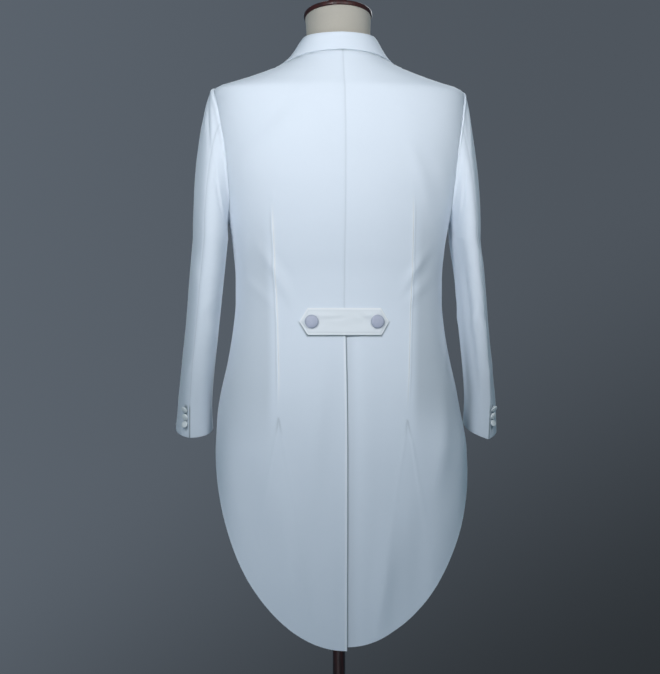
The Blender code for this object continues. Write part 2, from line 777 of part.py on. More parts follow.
def button_profile(diameter, height):
    # Runs down the outer side: domed top, round rim, flat back.
    radius = diameter / 2
    wide = radius * BUTTON_DOME_WIDTH
    drop = radius * BUTTON_DOME_DROP
    dome = [(wide * math.sin(a), height - drop * (1 - math.cos(a))) for a in np.linspace(0, math.pi / 3, 3)]
    edge, rim_z = dome[-1]
    rim = [(lerp(edge, radius, math.sin(a)), lerp(rim_z * BUTTON_RIM_LOW, rim_z, math.cos(a)))
           for a in np.linspace(0, math.pi / 2, 3)[1:]]
    return dome + rim + [(radius * BUTTON_BACK, 0.0), (0.0, 0.0)]


def turned_object(name, profile, steps, material, parts):
    mesh = bpy.data.meshes.new(name)
    edges = [(i, i + 1) for i in range(len(profile) - 1)]
    mesh.from_pydata([(radius, 0.0, z) for radius, z in profile], edges, [])
    thing = bpy.data.objects.new(name, mesh)
    parts.objects.link(thing)
    mesh.materials.append(material)
    screw = thing.modifiers.new("Turn", "SCREW")
    screw.steps = steps
    screw.render_steps = steps
    screw.use_merge_vertices = True
    screw.merge_threshold = 0.00005
    screw.use_smooth_shade = True
    return thing


def place_on(thing, spot, normal):
    thing.location = spot
    thing.rotation_mode = "QUATERNION"
    thing.rotation_quaternion = normal.to_track_quat("Z", "Y")


# Dress form

def form_ease(angle, z):
    ease = column(FORM_EASE, EASE_COLUMNS, "ease", z)
    side = smooth_step((abs(math.sin(angle)) - ARMHOLE_EASE_FROM) / ARMHOLE_EASE_RAMP)
    below = smooth_step((ARMHOLE_EASE_TOP_Z - z) / ARMHOLE_EASE_TOP_RAMP)
    above = smooth_step((z - ARMHOLE_EASE_LOW_Z) / ARMHOLE_EASE_LOW_RAMP)
    return WALL + FORM_GAP + ease + ARMHOLE_EASE * side * below * above


def form_loops():
    angles = [2 * math.pi * k / FORM_SEGMENTS for k in range(FORM_SEGMENTS)]
    loops = []
    for half_x, half_y, z in FORM_UNDERSIDE:
        loops.append([Vector((half_x * math.sin(a), half_y * math.cos(a), z)) for a in angles])
    for z in FORM_HEIGHTS:
        tuck = smooth_step((HIP_TUCK_Z - z) / (HIP_TUCK_Z - FORM_BOTTOM_Z)) * HIP_TUCK
        loops.append([torso_point(a, z, -form_ease(a, z) - tuck) for a in angles])
    for z in NECK_HEIGHTS:
        half_x = column(FORM_NECK, NECK_COLUMNS, "half_x", z)
        half_y = column(FORM_NECK, NECK_COLUMNS, "half_y", z)
        y = column(FORM_NECK, NECK_COLUMNS, "y", z)
        lean = half_y * math.tan(NECK_TILT) * (z - NECK_STRAIGHT_Z) / (NECK_TOP_Z - NECK_STRAIGHT_Z)
        lean = max(lean, 0.0)
        loops.append([Vector((half_x * math.sin(a), y + half_y * math.cos(a), z + lean * math.cos(a)))
                      for a in angles])
    return loops


def cap_profile():
    lip = [(CAP_RADIUS + CAP_LIP * math.sin(a), CAP_HEIGHT * (0.5 + 0.42 * math.cos(a)))
           for a in np.linspace(0.15, math.pi - 0.15, 4)]
    return [(0.0, CAP_HEIGHT + CAP_CROWN), (CAP_RADIUS * 0.55, CAP_HEIGHT + CAP_CROWN * 0.75), *lip,
            (CAP_RADIUS - 2 * CAP_LIP, 0.0), (0.0, 0.0)]


def knob_profile():
    foot = CAP_HEIGHT + CAP_CROWN + 2 * SEAM_GAP
    ball = foot + KNOB_HEIGHT - KNOB_RADIUS
    neck = math.asin(KNOB_STEM_RADIUS * 0.75 / KNOB_RADIUS)
    top = [(KNOB_RADIUS * math.sin(a), ball + KNOB_RADIUS * math.cos(a))
           for a in np.linspace(0, math.pi - neck, 7)]
    return top + [(KNOB_STEM_RADIUS, foot + KNOB_STEM_TOP), (KNOB_STEM_RADIUS, foot + KNOB_STEM_FOOT),
                  (KNOB_STEM_RADIUS * 1.3, foot), (0.0, foot)]


def pole_profile():
    top = FORM_BOTTOM_Z - SEAM_GAP
    foot = BASE_HEIGHT + SEAM_GAP
    flange = [(radius, top - below) for radius, below in POLE_FLANGE]
    socket = [(radius, foot + above) for radius, above in POLE_SOCKET]
    return [(0.0, top), *flange, *socket, (0.0, foot)]


def base_profile():
    step = BASE_HEIGHT * (1 - BASE_STEP_SHARE)
    shoulder = [(BASE_STEP_RADIUS + BASE_STEP_ROUND * math.sin(a), lerp(step, BASE_HEIGHT, math.cos(a)))
                for a in np.linspace(0, math.pi / 2, 4)]
    rim = [(BASE_RADIUS - BASE_BEVEL, step), (BASE_RADIUS, BASE_HEIGHT * BASE_RIM_SHARE),
           (BASE_RADIUS, BASE_BEVEL), (BASE_RADIUS - BASE_BEVEL, 0.0)]
    return [(0.0, BASE_HEIGHT), (BASE_FLAT_RADIUS, BASE_HEIGHT), *shoulder, *rim, (0.0, 0.0)]


def build():
    for thing in list(bpy.data.objects):
        bpy.data.objects.remove(thing, do_unlink=True)
    parts = bpy.data.collections.new("Tailcoat on dress form")
    bpy.context.scene.collection.children.link(parts)

    cloth = make_material("coat_cloth", COAT_WHITE, 0.75)
    satin = make_material("button_satin", BUTTON_SATIN, 0.4)
    linen = make_material("form_linen", FORM_LINEN, 0.85)
    lacquer = make_material("lacquered_wood", LACQUER_RED, 0.25)

    for name, grids in (
        ("back_left", back_panel(False)),
        ("back_right", back_panel(True)),
        ("front_left", front_panel(True)),
        ("front_right", front_panel(False)),
        ("lapel_left", lapel_grid(True)),
        ("lapel_right", lapel_grid(False)),
        ("back_belt", belt_grid()),
    ):
        add_object(name, wall_mesh(name, *grids), cloth, parts)

    full_turn = 2 * ARMHOLE_STEPS
    for name, first, last in (
        ("sleeve_under", HINDARM_STEP, FOREARM_STEP),
        ("sleeve_upper", FOREARM_STEP, full_turn + HINDARM_STEP),
    ):
        for side in ("left", "right"):
            mesh = wall_mesh(f"{name}_{side}", *sleeve_half(side, first, last))
            add_object(f"{name}_{side}", mesh, cloth, parts)

    add_object("collar", loft_mesh("collar", collar_loops()), cloth, parts)

    coat_button = button_profile(BUTTON_DIAMETER, BUTTON_HEIGHT)
    for name, x in (("belt_button_left", BELT_BUTTON_X), ("belt_button_right", -BELT_BUTTON_X)):
        button = turned_object(name, coat_button, BUTTON_STEPS, satin, parts)
        angle = angle_at_x(x, BELT_BUTTON_Z, False)
        out = LAID_GAP + BELT_WALL + SEAM_GAP
        place_on(button, torso_point(angle, BELT_BUTTON_Z, out), torso_normal(angle, BELT_BUTTON_Z))

    waist_button = turned_object("waist_button", coat_button, BUTTON_STEPS, satin, parts)
    angle = angle_at_x(0.0, WAIST_BUTTON_Z, True)
    spot = torso_point(angle, WAIST_BUTTON_Z, WALL + LAP_GAP + SEAM_GAP)
    place_on(waist_button, spot, torso_normal(angle, WAIST_BUTTON_Z))

    cuff_button = button_profile(CUFF_BUTTON_DIAMETER, CUFF_BUTTON_HEIGHT)
    for side, sign in (("left", 1), ("right", -1)):
        for k in range(CUFF_BUTTONS):
            down = CUFF_BUTTON_DOWN - k * CUFF_BUTTON_PITCH / (SLEEVE_TOP_Z - CUFF_Z)
            spot = sleeve_offset(side, CUFF_BUTTON_TURN, down, SEAM_GAP)
            normal = -sleeve_normal(side, CUFF_BUTTON_TURN, down)
            button = turned_object(f"cuff_button_{side}_{k + 1}", cuff_button, CUFF_BUTTON_STEPS, satin,
                                   parts)
            place_on(button, Vector((spot.x * sign, spot.y, spot.z)),
                     Vector((normal.x * sign, normal.y, normal.z)))

    add_object("form_torso", loft_mesh("form_torso", form_loops()), linen, parts)
    tilt = Vector((0.0, -math.sin(NECK_TILT), math.cos(NECK_TILT)))
    neck_top = Vector((0.0, FORM_NECK[-1][NECK_COLUMNS.index("y")], NECK_TOP_Z))
    for name, profile in (("neck_cap", cap_profile()), ("neck_knob", knob_profile())):
        thing = turned_object(name, profile, CAP_STEPS, lacquer, parts)
        place_on(thing, neck_top + tilt * SEAM_GAP, tilt)
    turned_object("stand_pole", pole_profile(), POLE_STEPS, lacquer, parts)
    turned_object("stand_base", base_profile(), BASE_STEPS, lacquer, parts)
    return parts


build()
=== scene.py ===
# White tailcoat on a limbless dress form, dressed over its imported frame.
# Metres, +Z up. The coat's back faces +Y and the wearer's left is +X.
import math

import bpy
import numpy as np
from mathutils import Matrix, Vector


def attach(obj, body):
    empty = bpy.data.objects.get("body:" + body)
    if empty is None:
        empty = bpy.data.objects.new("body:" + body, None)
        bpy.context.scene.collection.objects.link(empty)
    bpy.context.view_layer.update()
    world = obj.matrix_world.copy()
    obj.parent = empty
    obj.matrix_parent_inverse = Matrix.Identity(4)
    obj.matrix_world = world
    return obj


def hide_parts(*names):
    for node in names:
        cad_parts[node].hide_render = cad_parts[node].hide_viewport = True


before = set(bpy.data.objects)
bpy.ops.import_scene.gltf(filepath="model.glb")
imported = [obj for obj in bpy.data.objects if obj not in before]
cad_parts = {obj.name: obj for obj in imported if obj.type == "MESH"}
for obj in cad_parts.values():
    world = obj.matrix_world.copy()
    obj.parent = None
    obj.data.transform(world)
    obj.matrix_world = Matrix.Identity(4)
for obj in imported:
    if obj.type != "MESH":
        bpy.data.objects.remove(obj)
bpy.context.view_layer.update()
print("frame loaded with", len(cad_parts), "nodes")


class Wire:
    # One output socket of a node tree. Sums on it add Math nodes.
    def __init__(self, nodes, socket):
        self.nodes = nodes
        self.socket = socket

    def reckon(self, operation, first, second):
        return self.nodes.add("ShaderNodeMath", {"operation": operation}, {0: first, 1: second})

    def __add__(self, other):
        return self.reckon("ADD", self, other)

    def __sub__(self, other):
        return self.reckon("SUBTRACT", self, other)

    def __rsub__(self, other):
        return self.reckon("SUBTRACT", other, self)

    def __mul__(self, other):
        return self.reckon("MULTIPLY", self, other)

    def wave(self, pitch):  # 0 to 1 and back over one pitch
        return self.reckon("SINE", self * (2 * math.pi / pitch), 0.0) * 0.5 + 0.5

    __radd__ = __add__
    __rmul__ = __mul__


class Nodes:
    # One node tree. add() makes any node: its settings are set first, then its sockets.
    def __init__(self, tree):
        self.tree = tree

    def join(self, value, socket):
        if isinstance(value, Wire):
            self.tree.links.new(value.socket, socket)
        else:
            socket.default_value = value

    def add(self, kind, settings=None, sockets=None, out=0):
        node = self.tree.nodes.new(kind)
        for name, value in (settings or {}).items():
            setattr(node, name, value)
        for name, value in (sockets or {}).items():
            self.join(value, node.inputs[name])
        return Wire(self, node.outputs[out])

    def mix(self, share, first, second):
        return self.add("ShaderNodeMix", {"data_type": "RGBA"}, {0: share, 6: first, 7: second}, 2)

    def split(self, vector):
        return [self.add("ShaderNodeSeparateXYZ", None, {0: vector}, k) for k in range(3)]

    def ramp(self, value, low, high):  # a soft step: 0 at low, 1 at high
        return self.add("ShaderNodeMapRange", {"interpolation_type": "SMOOTHSTEP"}, {0: value, 1: low, 2: high})


class Finish(Nodes):
    # One material. Values that don't vary are set straight on its shader.
    def __init__(self, name, uniform):
        self.material = bpy.data.materials.new(name)
        self.material.use_nodes = True
        super().__init__(self.material.node_tree)
        self.shader = self.tree.nodes["Principled BSDF"]
        self.give(uniform)

    def give(self, sockets):
        for name, value in sockets.items():
            self.join(value, self.shader.inputs[name])

    def place(self):  # where a point of the object is, in metres
        return self.add("ShaderNodeTexCoord", out="Object")

    def noise(self, scale, detail=2.0, vector=None):
        return self.add("ShaderNodeTexNoise", None,
                        {"Vector": vector or self.place(), "Scale": scale, "Detail": detail})

    def bump(self, height, distance, strength=1.0):
        self.give({"Normal": self.add("ShaderNodeBump", None,
                                      {"Height": height, "Distance": distance, "Strength": strength})})


# Finishes

coatLook = {
    "white": (0.795, 0.850, 0.915, 1.0),
    "greyer": (0.760, 0.820, 0.890, 1.0),
    # The next two whites are the coat's whites painted lighter and warmer for the belt, standing in for the light on
    # the raised belt.
    "beltLitWhite": (0.860, 0.890, 0.910, 1.0),
    "beltLitGreyer": (0.820, 0.855, 0.875, 1.0),
    # The next two colours are a painted highlight and a painted shade, mixed into the cloth by the shade attribute and
    # the vent and belt masks.
    "highlightWhite": (0.960, 0.975, 0.985, 1.0),
    "shadeColour": (0.250, 0.300, 0.325, 1.0),
    "threadPitch": 0.00062,
    "slubPitch": 0.0021,
    "relief": 0.00016,
    "ventEdge": -0.0015,
    "ventTop": 1.004,
    "beltFoot": 1.0025,
    "beltCorner": 0.0625,
    "beltMiddle": 1.026,
    "shadeReach": 0.0042,
}
satinLook = {
    "lilac": (0.400, 0.425, 0.535, 1.0),
    "silver": (0.500, 0.525, 0.625, 1.0),
    # The next two colours are the button satin painted paler and greyer for the cuff buttons, standing in for the
    # light they catch.
    "grey": (0.660, 0.700, 0.700, 1.0),
    "chalk": (0.830, 0.860, 0.850, 1.0),
    "threadPitch": 0.00040,
    "relief": 0.00005,
}
linenLook = {
    "beige": (0.440, 0.405, 0.345, 1.0),
    "pale": (0.535, 0.500, 0.435, 1.0),
    "threadPitch": 0.00110,
    "relief": 0.00022,
}
lacquerLook = {
    "red": (0.060, 0.008, 0.006, 1.0),
    "brown": (0.022, 0.006, 0.005, 1.0),
    "grainScale": 26.0,
}


def coatFinish(name, white, greyer):
    cloth = Finish(name, {"Sheen Weight": 0.22, "Sheen Roughness": 0.45, "Specular IOR Level": 0.28})
    flat = cloth.add("ShaderNodeUVMap", {"uv_map": "cloth"})
    across, down, _ = cloth.split(flat)
    pitch = coatLook["threadPitch"]
    twill = (across + down).wave(pitch) * 0.6 + (across - down * 0.5).wave(pitch * 0.7) * 0.4
    slub = cloth.noise(1 / coatLook["slubPitch"], 2.0, flat)
    cloudy = cloth.noise(9.0, 3.0)
    fibres = cloth.noise(1800.0, 1.0)
    tone = cloudy * 0.55 + slub * 0.25 + twill * 0.20
    x, y, z = cloth.split(cloth.place())
    # Painted shadow on the back (y above 0): a dark line on the right panel beside the vent's edge with a softer band
    # after it, and a band under and beside the belt.
    behind, reach = cloth.ramp(y, 0.0, 0.02), coatLook["shadeReach"]
    beside = (x * -1.0) + coatLook["ventEdge"]
    vent = cloth.ramp(beside, reach * 0.7, 0.0) * 0.75 + cloth.ramp(beside, reach * 5, 0.0) * 0.14
    vent = vent * cloth.ramp(beside, -0.0004, 0.0) * cloth.ramp(z, coatLook["ventTop"], coatLook["ventTop"] - 0.006)
    aside = x.reckon("ABSOLUTE", x, 0.0) - coatLook["beltCorner"]
    above = z - coatLook["beltFoot"]
    out = x.reckon("MAXIMUM", above * -1.0, aside * 0.859 - above * 0.512)
    belt = cloth.ramp(out, reach, 0.0) * cloth.ramp(out, -0.0008, 0.0002)
    belt = belt * cloth.ramp(z, coatLook["beltMiddle"] + 0.003, coatLook["beltMiddle"] - 0.006)
    # The shade attribute read here is painted shade, and painted highlight where it is negative.
    seams = cloth.add("ShaderNodeAttribute", {"attribute_name": "shade"}, out="Fac")
    shade = seams + (vent + belt * 0.80) * behind
    toneWithHighlight = cloth.mix(seams * -1.0, cloth.mix(tone, greyer, white), coatLook["highlightWhite"])
    cloth.give({
        "Base Color": cloth.mix(shade, toneWithHighlight, coatLook["shadeColour"]),
        "Roughness": 0.70 + cloudy * 0.10 + twill * 0.06,
    })
    cloth.bump(twill * 0.7 + slub * 0.5 + fibres * 0.35, coatLook["relief"], 0.55)
    return cloth


def satinFinish(name, dull, light):
    satin = Finish(name, {"Sheen Weight": 0.35, "Sheen Roughness": 0.30, "Specular IOR Level": 0.6})
    x, y, z = satin.split(satin.place())
    warp = (x + z).wave(satinLook["threadPitch"])
    weft = (x - z + y).wave(satinLook["threadPitch"] * 2.3)
    soft = satin.noise(220.0, 2.0)
    satin.give({
        "Base Color": satin.mix(soft * 0.7 + warp * 0.3, dull, light),
        "Roughness": 0.36 + soft * 0.12 + weft * 0.05,
    })
    satin.bump(warp * 0.6 + weft * 0.4, satinLook["relief"], 0.5)
    return satin


def linenFinish():
    linen = Finish("formLinen", {"Sheen Weight": 0.12, "Specular IOR Level": 0.25})
    x, y, z = linen.split(linen.place())
    pitch = linenLook["threadPitch"]
    warp = (x - y * 0.7).wave(pitch)
    weft = z.wave(pitch * 1.05)
    slub = linen.noise(420.0, 3.0)
    cloudy = linen.noise(14.0, 3.0)
    weave = warp * weft + (1 - warp) * (1 - weft)
    linen.give({
        "Base Color": linen.mix(cloudy * 0.5 + slub * 0.3 + weave * 0.2, linenLook["beige"], linenLook["pale"]),
        "Roughness": 0.82 + slub * 0.10,
    })
    linen.bump(weave * 0.7 + slub * 0.6, linenLook["relief"], 0.6)
    return linen


def lacquerFinish():
    lacquer = Finish("lacquerRed", {"Coat Roughness": 0.16, "Specular IOR Level": 0.45})
    x, y, z = lacquer.split(lacquer.place())
    wavy = lacquer.noise(lacquerLook["grainScale"], 4.0)
    rings = (x + y * 0.6 + wavy * 0.02).wave(0.009)
    pores = lacquer.noise(700.0, 2.0)
    worn = lacquer.noise(60.0, 3.0)
    grain = rings * 0.6 + wavy * 0.4
    lacquer.give({
        "Base Color": lacquer.mix(grain, lacquerLook["brown"], lacquerLook["red"]),
        "Roughness": 0.42 + worn * 0.14,
        "Coat Weight": 0.22 - worn * 0.1,
    })
    lacquer.bump(pores * 0.4 + wavy * 0.6, 0.0001, 0.2)
    return lacquer


coatCloth = coatFinish("coatCloth", coatLook["white"], coatLook["greyer"])
# The belt's cloth is the coat's cloth painted lighter: painted light on the raised belt.
beltClothPaintedLighter = coatFinish("beltClothPaintedLighter", coatLook["beltLitWhite"], coatLook["beltLitGreyer"])
buttonSatin = satinFinish("buttonSatin", satinLook["lilac"], satinLook["silver"])
# The cuff buttons' satin is a paler, greyer copy of the button satin: painted light on the cuff buttons.
cuffSatinPaintedPaler = satinFinish("cuffSatinPaintedPaler", satinLook["grey"], satinLook["chalk"])
formLinen, lacquerRed = linenFinish(), lacquerFinish()
print("finishes made")


# Shared shapes

def smoothStep(value):
    t = np.clip(value, 0.0, 1.0)
    return t * t * (3 - 2 * t)


def lerp(a, b, t):
    return a + (b - a) * t


def unit(vectors):
    return vectors / np.linalg.norm(vectors, axis=-1, keepdims=True)


def readTable(table):
    # Reads a column of a table at any knot, on a smooth curve that never overshoots.
    rows = np.array(sorted(table["rows"]), float)
    knots = rows[:, 0]

    def read(name, at):
        values = rows[:, table["columns"].index(name)]
        slopes = np.diff(values) / np.diff(knots)
        before, after = slopes[:-1], slopes[1:]
        sameWay = before * after > 0
        inner = np.where(sameWay, 2 * before * after / np.where(sameWay, before + after, 1.0), 0.0)
        tangents = np.concatenate(([slopes[0]], inner, [slopes[-1]]))
        at = np.clip(at, knots[0], knots[-1])
        i = np.clip(np.searchsorted(knots, at, side="right") - 1, 0, len(knots) - 2)
        span = knots[i + 1] - knots[i]
        t = (at - knots[i]) / span
        return ((2 * t**3 - 3 * t**2 + 1) * values[i] + (t**3 - 2 * t**2 + t) * span * tangents[i]
                + (3 * t**2 - 2 * t**3) * values[i + 1] + (t**3 - t**2) * span * tangents[i + 1])

    return read


def gathered(count, pull=0.6):
    # Shares from 0 to 1 that crowd towards both ends.
    t = np.linspace(0, 1, count + 1)
    return t - pull * np.sin(2 * math.pi * t) / (2 * math.pi)


def creaseField(u, v, creases):
    # Height of soft creases: (u0, v0, u1, v1, width, depth); a valley runs beside each ridge.
    height = np.zeros(np.broadcast(u, v).shape)
    for u0, v0, u1, v1, width, depth in creases:
        du, dv = u1 - u0, v1 - v0
        length = math.hypot(du, dv)
        along = ((u - u0) * du + (v - v0) * dv) / length**2
        aside = ((u - u0) * dv - (v - v0) * du) / length
        beyond = np.maximum(np.abs(along - 0.5) - 0.5, 0.0) * length
        fade = np.exp(-(beyond / (width * 1.3)) ** 2) * (0.35 + 0.65 * np.sin(math.pi * np.clip(along, 0, 1)))
        ridge = np.exp(-(aside / width) ** 2) - 0.45 * np.exp(-((aside - 1.9 * width) / (1.3 * width)) ** 2)
        height += depth * fade * ridge
    return height


def mirrored(points):
    return points * np.array((-1.0, 1.0, 1.0))


def layUv(mesh, uv):
    layer = mesh.uv_layers.new(name="cloth")
    corners = np.zeros(len(mesh.loops), int)
    mesh.loops.foreach_get("vertex_index", corners)
    layer.data.foreach_set("uv", uv[corners].ravel())


def finishPiece(name, mesh, finish, nodes, rim=None):
    piece = bpy.data.objects.new(name, mesh)
    bpy.context.scene.collection.objects.link(piece)
    mesh.materials.append(finish.material)
    mesh.shade_smooth()
    if rim:
        round_ = piece.modifiers.new("rim", "BEVEL")
        round_.width = rim
        round_.segments = 2
        round_.limit_method = "ANGLE"
        round_.angle_limit = math.radians(50)
    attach(piece, "root")
    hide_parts(*nodes)
    return piece


def flatPlaces(points):
    # Distances along and down a grid, for the weave.
    across = np.cumsum(np.linalg.norm(np.diff(points, axis=1, prepend=points[:, :1]), axis=2), axis=1)
    down = np.cumsum(np.linalg.norm(np.diff(points, axis=0, prepend=points[:1]), axis=2), axis=0)
    return np.stack((across, down), -1).reshape(-1, 2)


def wallPiece(name, outer, inner, finish, slot, nodes, rim=0.00025, shade=None):
    # Closes an outer and an inner grid into one thin wall of cloth with a rounded rim.
    rows, cols = outer.shape[:2]
    at = np.arange(rows * cols).reshape(rows, cols)
    low = at + rows * cols
    skin = np.stack((at[:-1, :-1], at[:-1, 1:], at[1:, 1:], at[1:, :-1]), -1).reshape(-1, 4)
    face = np.cross(outer[1, 1] - outer[0, 0], outer[1, 0] - outer[0, 1])
    flip = np.dot(face, outer[0, 0] - inner[0, 0]) > 0
    edge = np.concatenate((at[0, :], at[1:, -1], at[-1, -2::-1], at[-2::-1, 0]))
    rim4 = np.stack((edge[1:], edge[:-1], edge[:-1] + rows * cols, edge[1:] + rows * cols), -1)
    lining = (skin + rows * cols)[:, ::-1]
    faces = np.concatenate((skin, lining, rim4))
    mesh = bpy.data.meshes.new(name)
    points = np.concatenate((outer.reshape(-1, 3), inner.reshape(-1, 3)))
    mesh.from_pydata(points.tolist(), [], (faces[:, ::-1] if flip else faces).tolist())
    uv = flatPlaces(outer)
    layUv(mesh, np.concatenate((uv, uv)))
    if shade is not None:
        mesh.attributes.new("shade", "FLOAT", "POINT").data.foreach_set("value", np.tile(shade.ravel(), 2))
    return finishPiece(name, mesh, finish, nodes, rim)


def loopPiece(name, loops, finish, nodes, rim=None):
    # Joins closed loops of points into one solid with a flat end at each side.
    count, cols = loops.shape[:2]
    at = np.arange(count * cols).reshape(count, cols)
    after = np.roll(at, -1, axis=1)
    faces = np.stack((at[:-1], after[:-1], after[1:], at[1:]), -1).reshape(-1, 4).tolist()
    faces += [at[0, ::-1].tolist(), at[-1].tolist()]
    centre = loops[count // 2].mean(0)
    face = np.cross(loops[count // 2, 1] - loops[count // 2, 0], loops[count // 2 + 1, 0] - loops[count // 2, 0])
    if np.dot(face, loops[count // 2, 0] - centre) < 0:
        faces = [corners[::-1] for corners in faces]
    mesh = bpy.data.meshes.new(name)
    mesh.from_pydata(loops.reshape(-1, 3).tolist(), [], faces)
    layUv(mesh, flatPlaces(loops))
    return finishPiece(name, mesh, finish, nodes, rim)


def refined(points, factor):
    # Adds rows between the rows of a grid, on a smooth curve through them.
    before = np.concatenate((points[:1], points[:-1]))
    after = np.concatenate((points[1:], points[-1:]))
    tangents = (after - before) / 2
    rows = []
    for k in range(len(points) - 1):
        for t in np.linspace(0, 1, factor, endpoint=False):
            rows.append((2 * t**3 - 3 * t**2 + 1) * points[k] + (t**3 - 2 * t**2 + t) * tangents[k]
                        + (3 * t**2 - 2 * t**3) * points[k + 1] + (t**3 - t**2) * tangents[k + 1])
    return np.array(rows + [points[-1]])


# The coat's body, one surface that all panels are cut from

coatCut = {
    "columns": ("z", "half", "back", "front", "mid", "power"),
    "rows": (
        (1.500, 0.0700, 0.0600, -0.050, -0.002, 2.00),
        (1.483, 0.0860, 0.0700, -0.068, -0.004, 2.00),
        (1.467, 0.1185, 0.0790, -0.080, -0.005, 2.00),
        (1.453, 0.1555, 0.0870, -0.090, -0.006, 2.05),
        (1.442, 0.1890, 0.0935, -0.098, -0.006, 2.10),
        (1.435, 0.2110, 0.0980, -0.103, -0.006, 2.20),
        (1.427, 0.2200, 0.1020, -0.107, -0.005, 2.30),
        (1.410, 0.2225, 0.1075, -0.114, -0.004, 2.40),
        (1.370, 0.2225, 0.1150, -0.126, -0.003, 2.50),
        (1.330, 0.2200, 0.1190, -0.135, 0.000, 2.50),
        (1.280, 0.2120, 0.1200, -0.141, 0.000, 2.50),
        (1.240, 0.2030, 0.1180, -0.142, 0.000, 2.45),
        (1.200, 0.1930, 0.1140, -0.140, 0.000, 2.40),
        (1.150, 0.1845, 0.1060, -0.133, 0.000, 2.35),
        (1.100, 0.1805, 0.0970, -0.126, 0.000, 2.30),
        (1.060, 0.1805, 0.0945, -0.122, 0.000, 2.25),
        (1.020, 0.1840, 0.0980, -0.122, 0.000, 2.20),
        (0.960, 0.1940, 0.1110, -0.126, 0.000, 2.20),
        (0.900, 0.2070, 0.1230, -0.131, 0.000, 2.30),
        (0.840, 0.2160, 0.1290, -0.134, 0.000, 2.35),
        (0.800, 0.2195, 0.1305, -0.135, 0.000, 2.35),
        (0.700, 0.2210, 0.1295, -0.135, 0.000, 2.35),
        (0.580, 0.2215, 0.1270, -0.135, 0.000, 2.35),
        (0.440, 0.2215, 0.1240, -0.135, 0.000, 2.35),
    ),
    "wall": 0.002,
    "seamGap": 0.0003,
    "shownGap": 0.00006,
    "laidGap": 0.0005,
    "lapGap": 0.0012,
    "neckline": 1.4985,
    "shoulder": 1.432,
    "underarm": 1.197,
    "rollEnd": 1.104,
    "frontPoint": 1.052,
    "tailSide": 0.810,
    "hem": 0.472,
    "hemRightRise": 0.0055,
    "hemRightEnd": 0.150,
    "hemSplit": 0.862,
    "armholeBack": 0.062,
    "armholeFront": 0.070,
}
readCoat = readTable(coatCut)
wall = coatCut["wall"]
halfGap = coatCut["shownGap"] / 2


def bodyBase(angle, z):
    # Point of the coat's surface at an angle from the centre back, positive towards +X.
    angle, z = np.broadcast_arrays(np.asarray(angle, float), np.asarray(z, float))
    half, mid, power = (readCoat(name, z) for name in ("half", "mid", "power"))
    along = np.cos(angle)
    depth = np.where(along > 0, readCoat("back", z) - mid, mid - readCoat("front", z))
    radius = ((np.abs(np.sin(angle)) / half) ** power + (np.abs(along) / depth) ** power) ** (-1 / power)
    return np.stack((radius * np.sin(angle), mid + radius * along, z), -1)


def bodyNormal(angle, z):
    around = bodyBase(angle + 0.01, z) - bodyBase(angle - 0.01, z)
    up = bodyBase(angle, z + 0.0015) - bodyBase(angle, z - 0.0015)
    normal = np.cross(up, around)
    base = bodyBase(angle, z)
    centre = np.stack((np.zeros_like(base[..., 0]), readCoat("mid", base[..., 2]), base[..., 2]), -1)
    facing = np.sum(normal * (base - centre), -1, keepdims=True)
    return unit(normal * np.where(facing < 0, -1.0, 1.0))


def bodyPoint(angle, z, out=0.0):
    return bodyBase(angle, z) + bodyNormal(angle, z) * np.asarray(out)[..., None]


def angleAtX(x, z, front):
    half, mid, power = (readCoat(name, z) for name in ("half", "mid", "power"))
    rest = (1 - np.minimum(np.abs(x) / half, 0.9999) ** power) ** (1 / power)
    if front:
        angle = np.arctan2(np.abs(x), -(mid - readCoat("front", z)) * rest)
        return np.where(x >= 0, angle, 2 * math.pi - angle)
    return np.arctan2(x, (readCoat("back", z) - mid) * rest)


def angleAtDepth(depth, z, front):
    mid, power = readCoat("mid", z), readCoat("power", z)
    reach = np.where(front, mid - readCoat("front", z), readCoat("back", z) - mid)
    x = readCoat("half", z) * (1 - np.minimum(np.abs(depth) / reach, 0.9999) ** power) ** (1 / power)
    return np.arctan2(x, np.where(front, -depth, depth))


def hemHeight(angle, right=False):
    # Round tails behind, cut away to the waist in front. The right tail is shorter by the vent.
    side, end = coatCut["tailSide"], coatCut["hemRightEnd"]
    x = np.abs(bodyBase(angle, side)[..., 0])
    rise = np.sqrt(1 - np.minimum(x / readCoat("half", side), 1.0) ** 2)
    shorter = coatCut["hemRightRise"] * smoothStep((end - x) / end * 2) if right else 0.0
    behind = side - (side - coatCut["hem"]) * rise + shorter
    before = side + (coatCut["frontPoint"] - side) * rise
    return np.where(np.cos(angle) >= 0, behind, before)


armholeMiddle = (coatCut["shoulder"] + coatCut["underarm"]) / 2
armholeReach = (coatCut["shoulder"] - coatCut["underarm"]) / 2


def armholeDepth(z, front):
    share = np.minimum(np.abs(z - armholeMiddle) / armholeReach, 1.0)
    return (coatCut["armholeFront"] if front else coatCut["armholeBack"]) * np.sqrt(1 - share**2)


def sideAngle(z, front):
    gap = halfGap / readCoat("half", z)
    inArmhole = (z <= coatCut["shoulder"]) & (z >= coatCut["underarm"])
    plain = np.full_like(z, math.pi / 2)
    edge = np.where(inArmhole, angleAtDepth(armholeDepth(z, front), z, np.full(z.shape, front)), plain)
    return edge + gap if front else edge - gap


def panelHeights(shoulderRows, armholeRows, lower):
    top = np.linspace(coatCut["neckline"], coatCut["shoulder"], shoulderRows, endpoint=False)
    armhole = armholeMiddle + armholeReach * np.cos(np.linspace(0, math.pi, armholeRows + 1))
    return np.concatenate((top, armhole, lower))


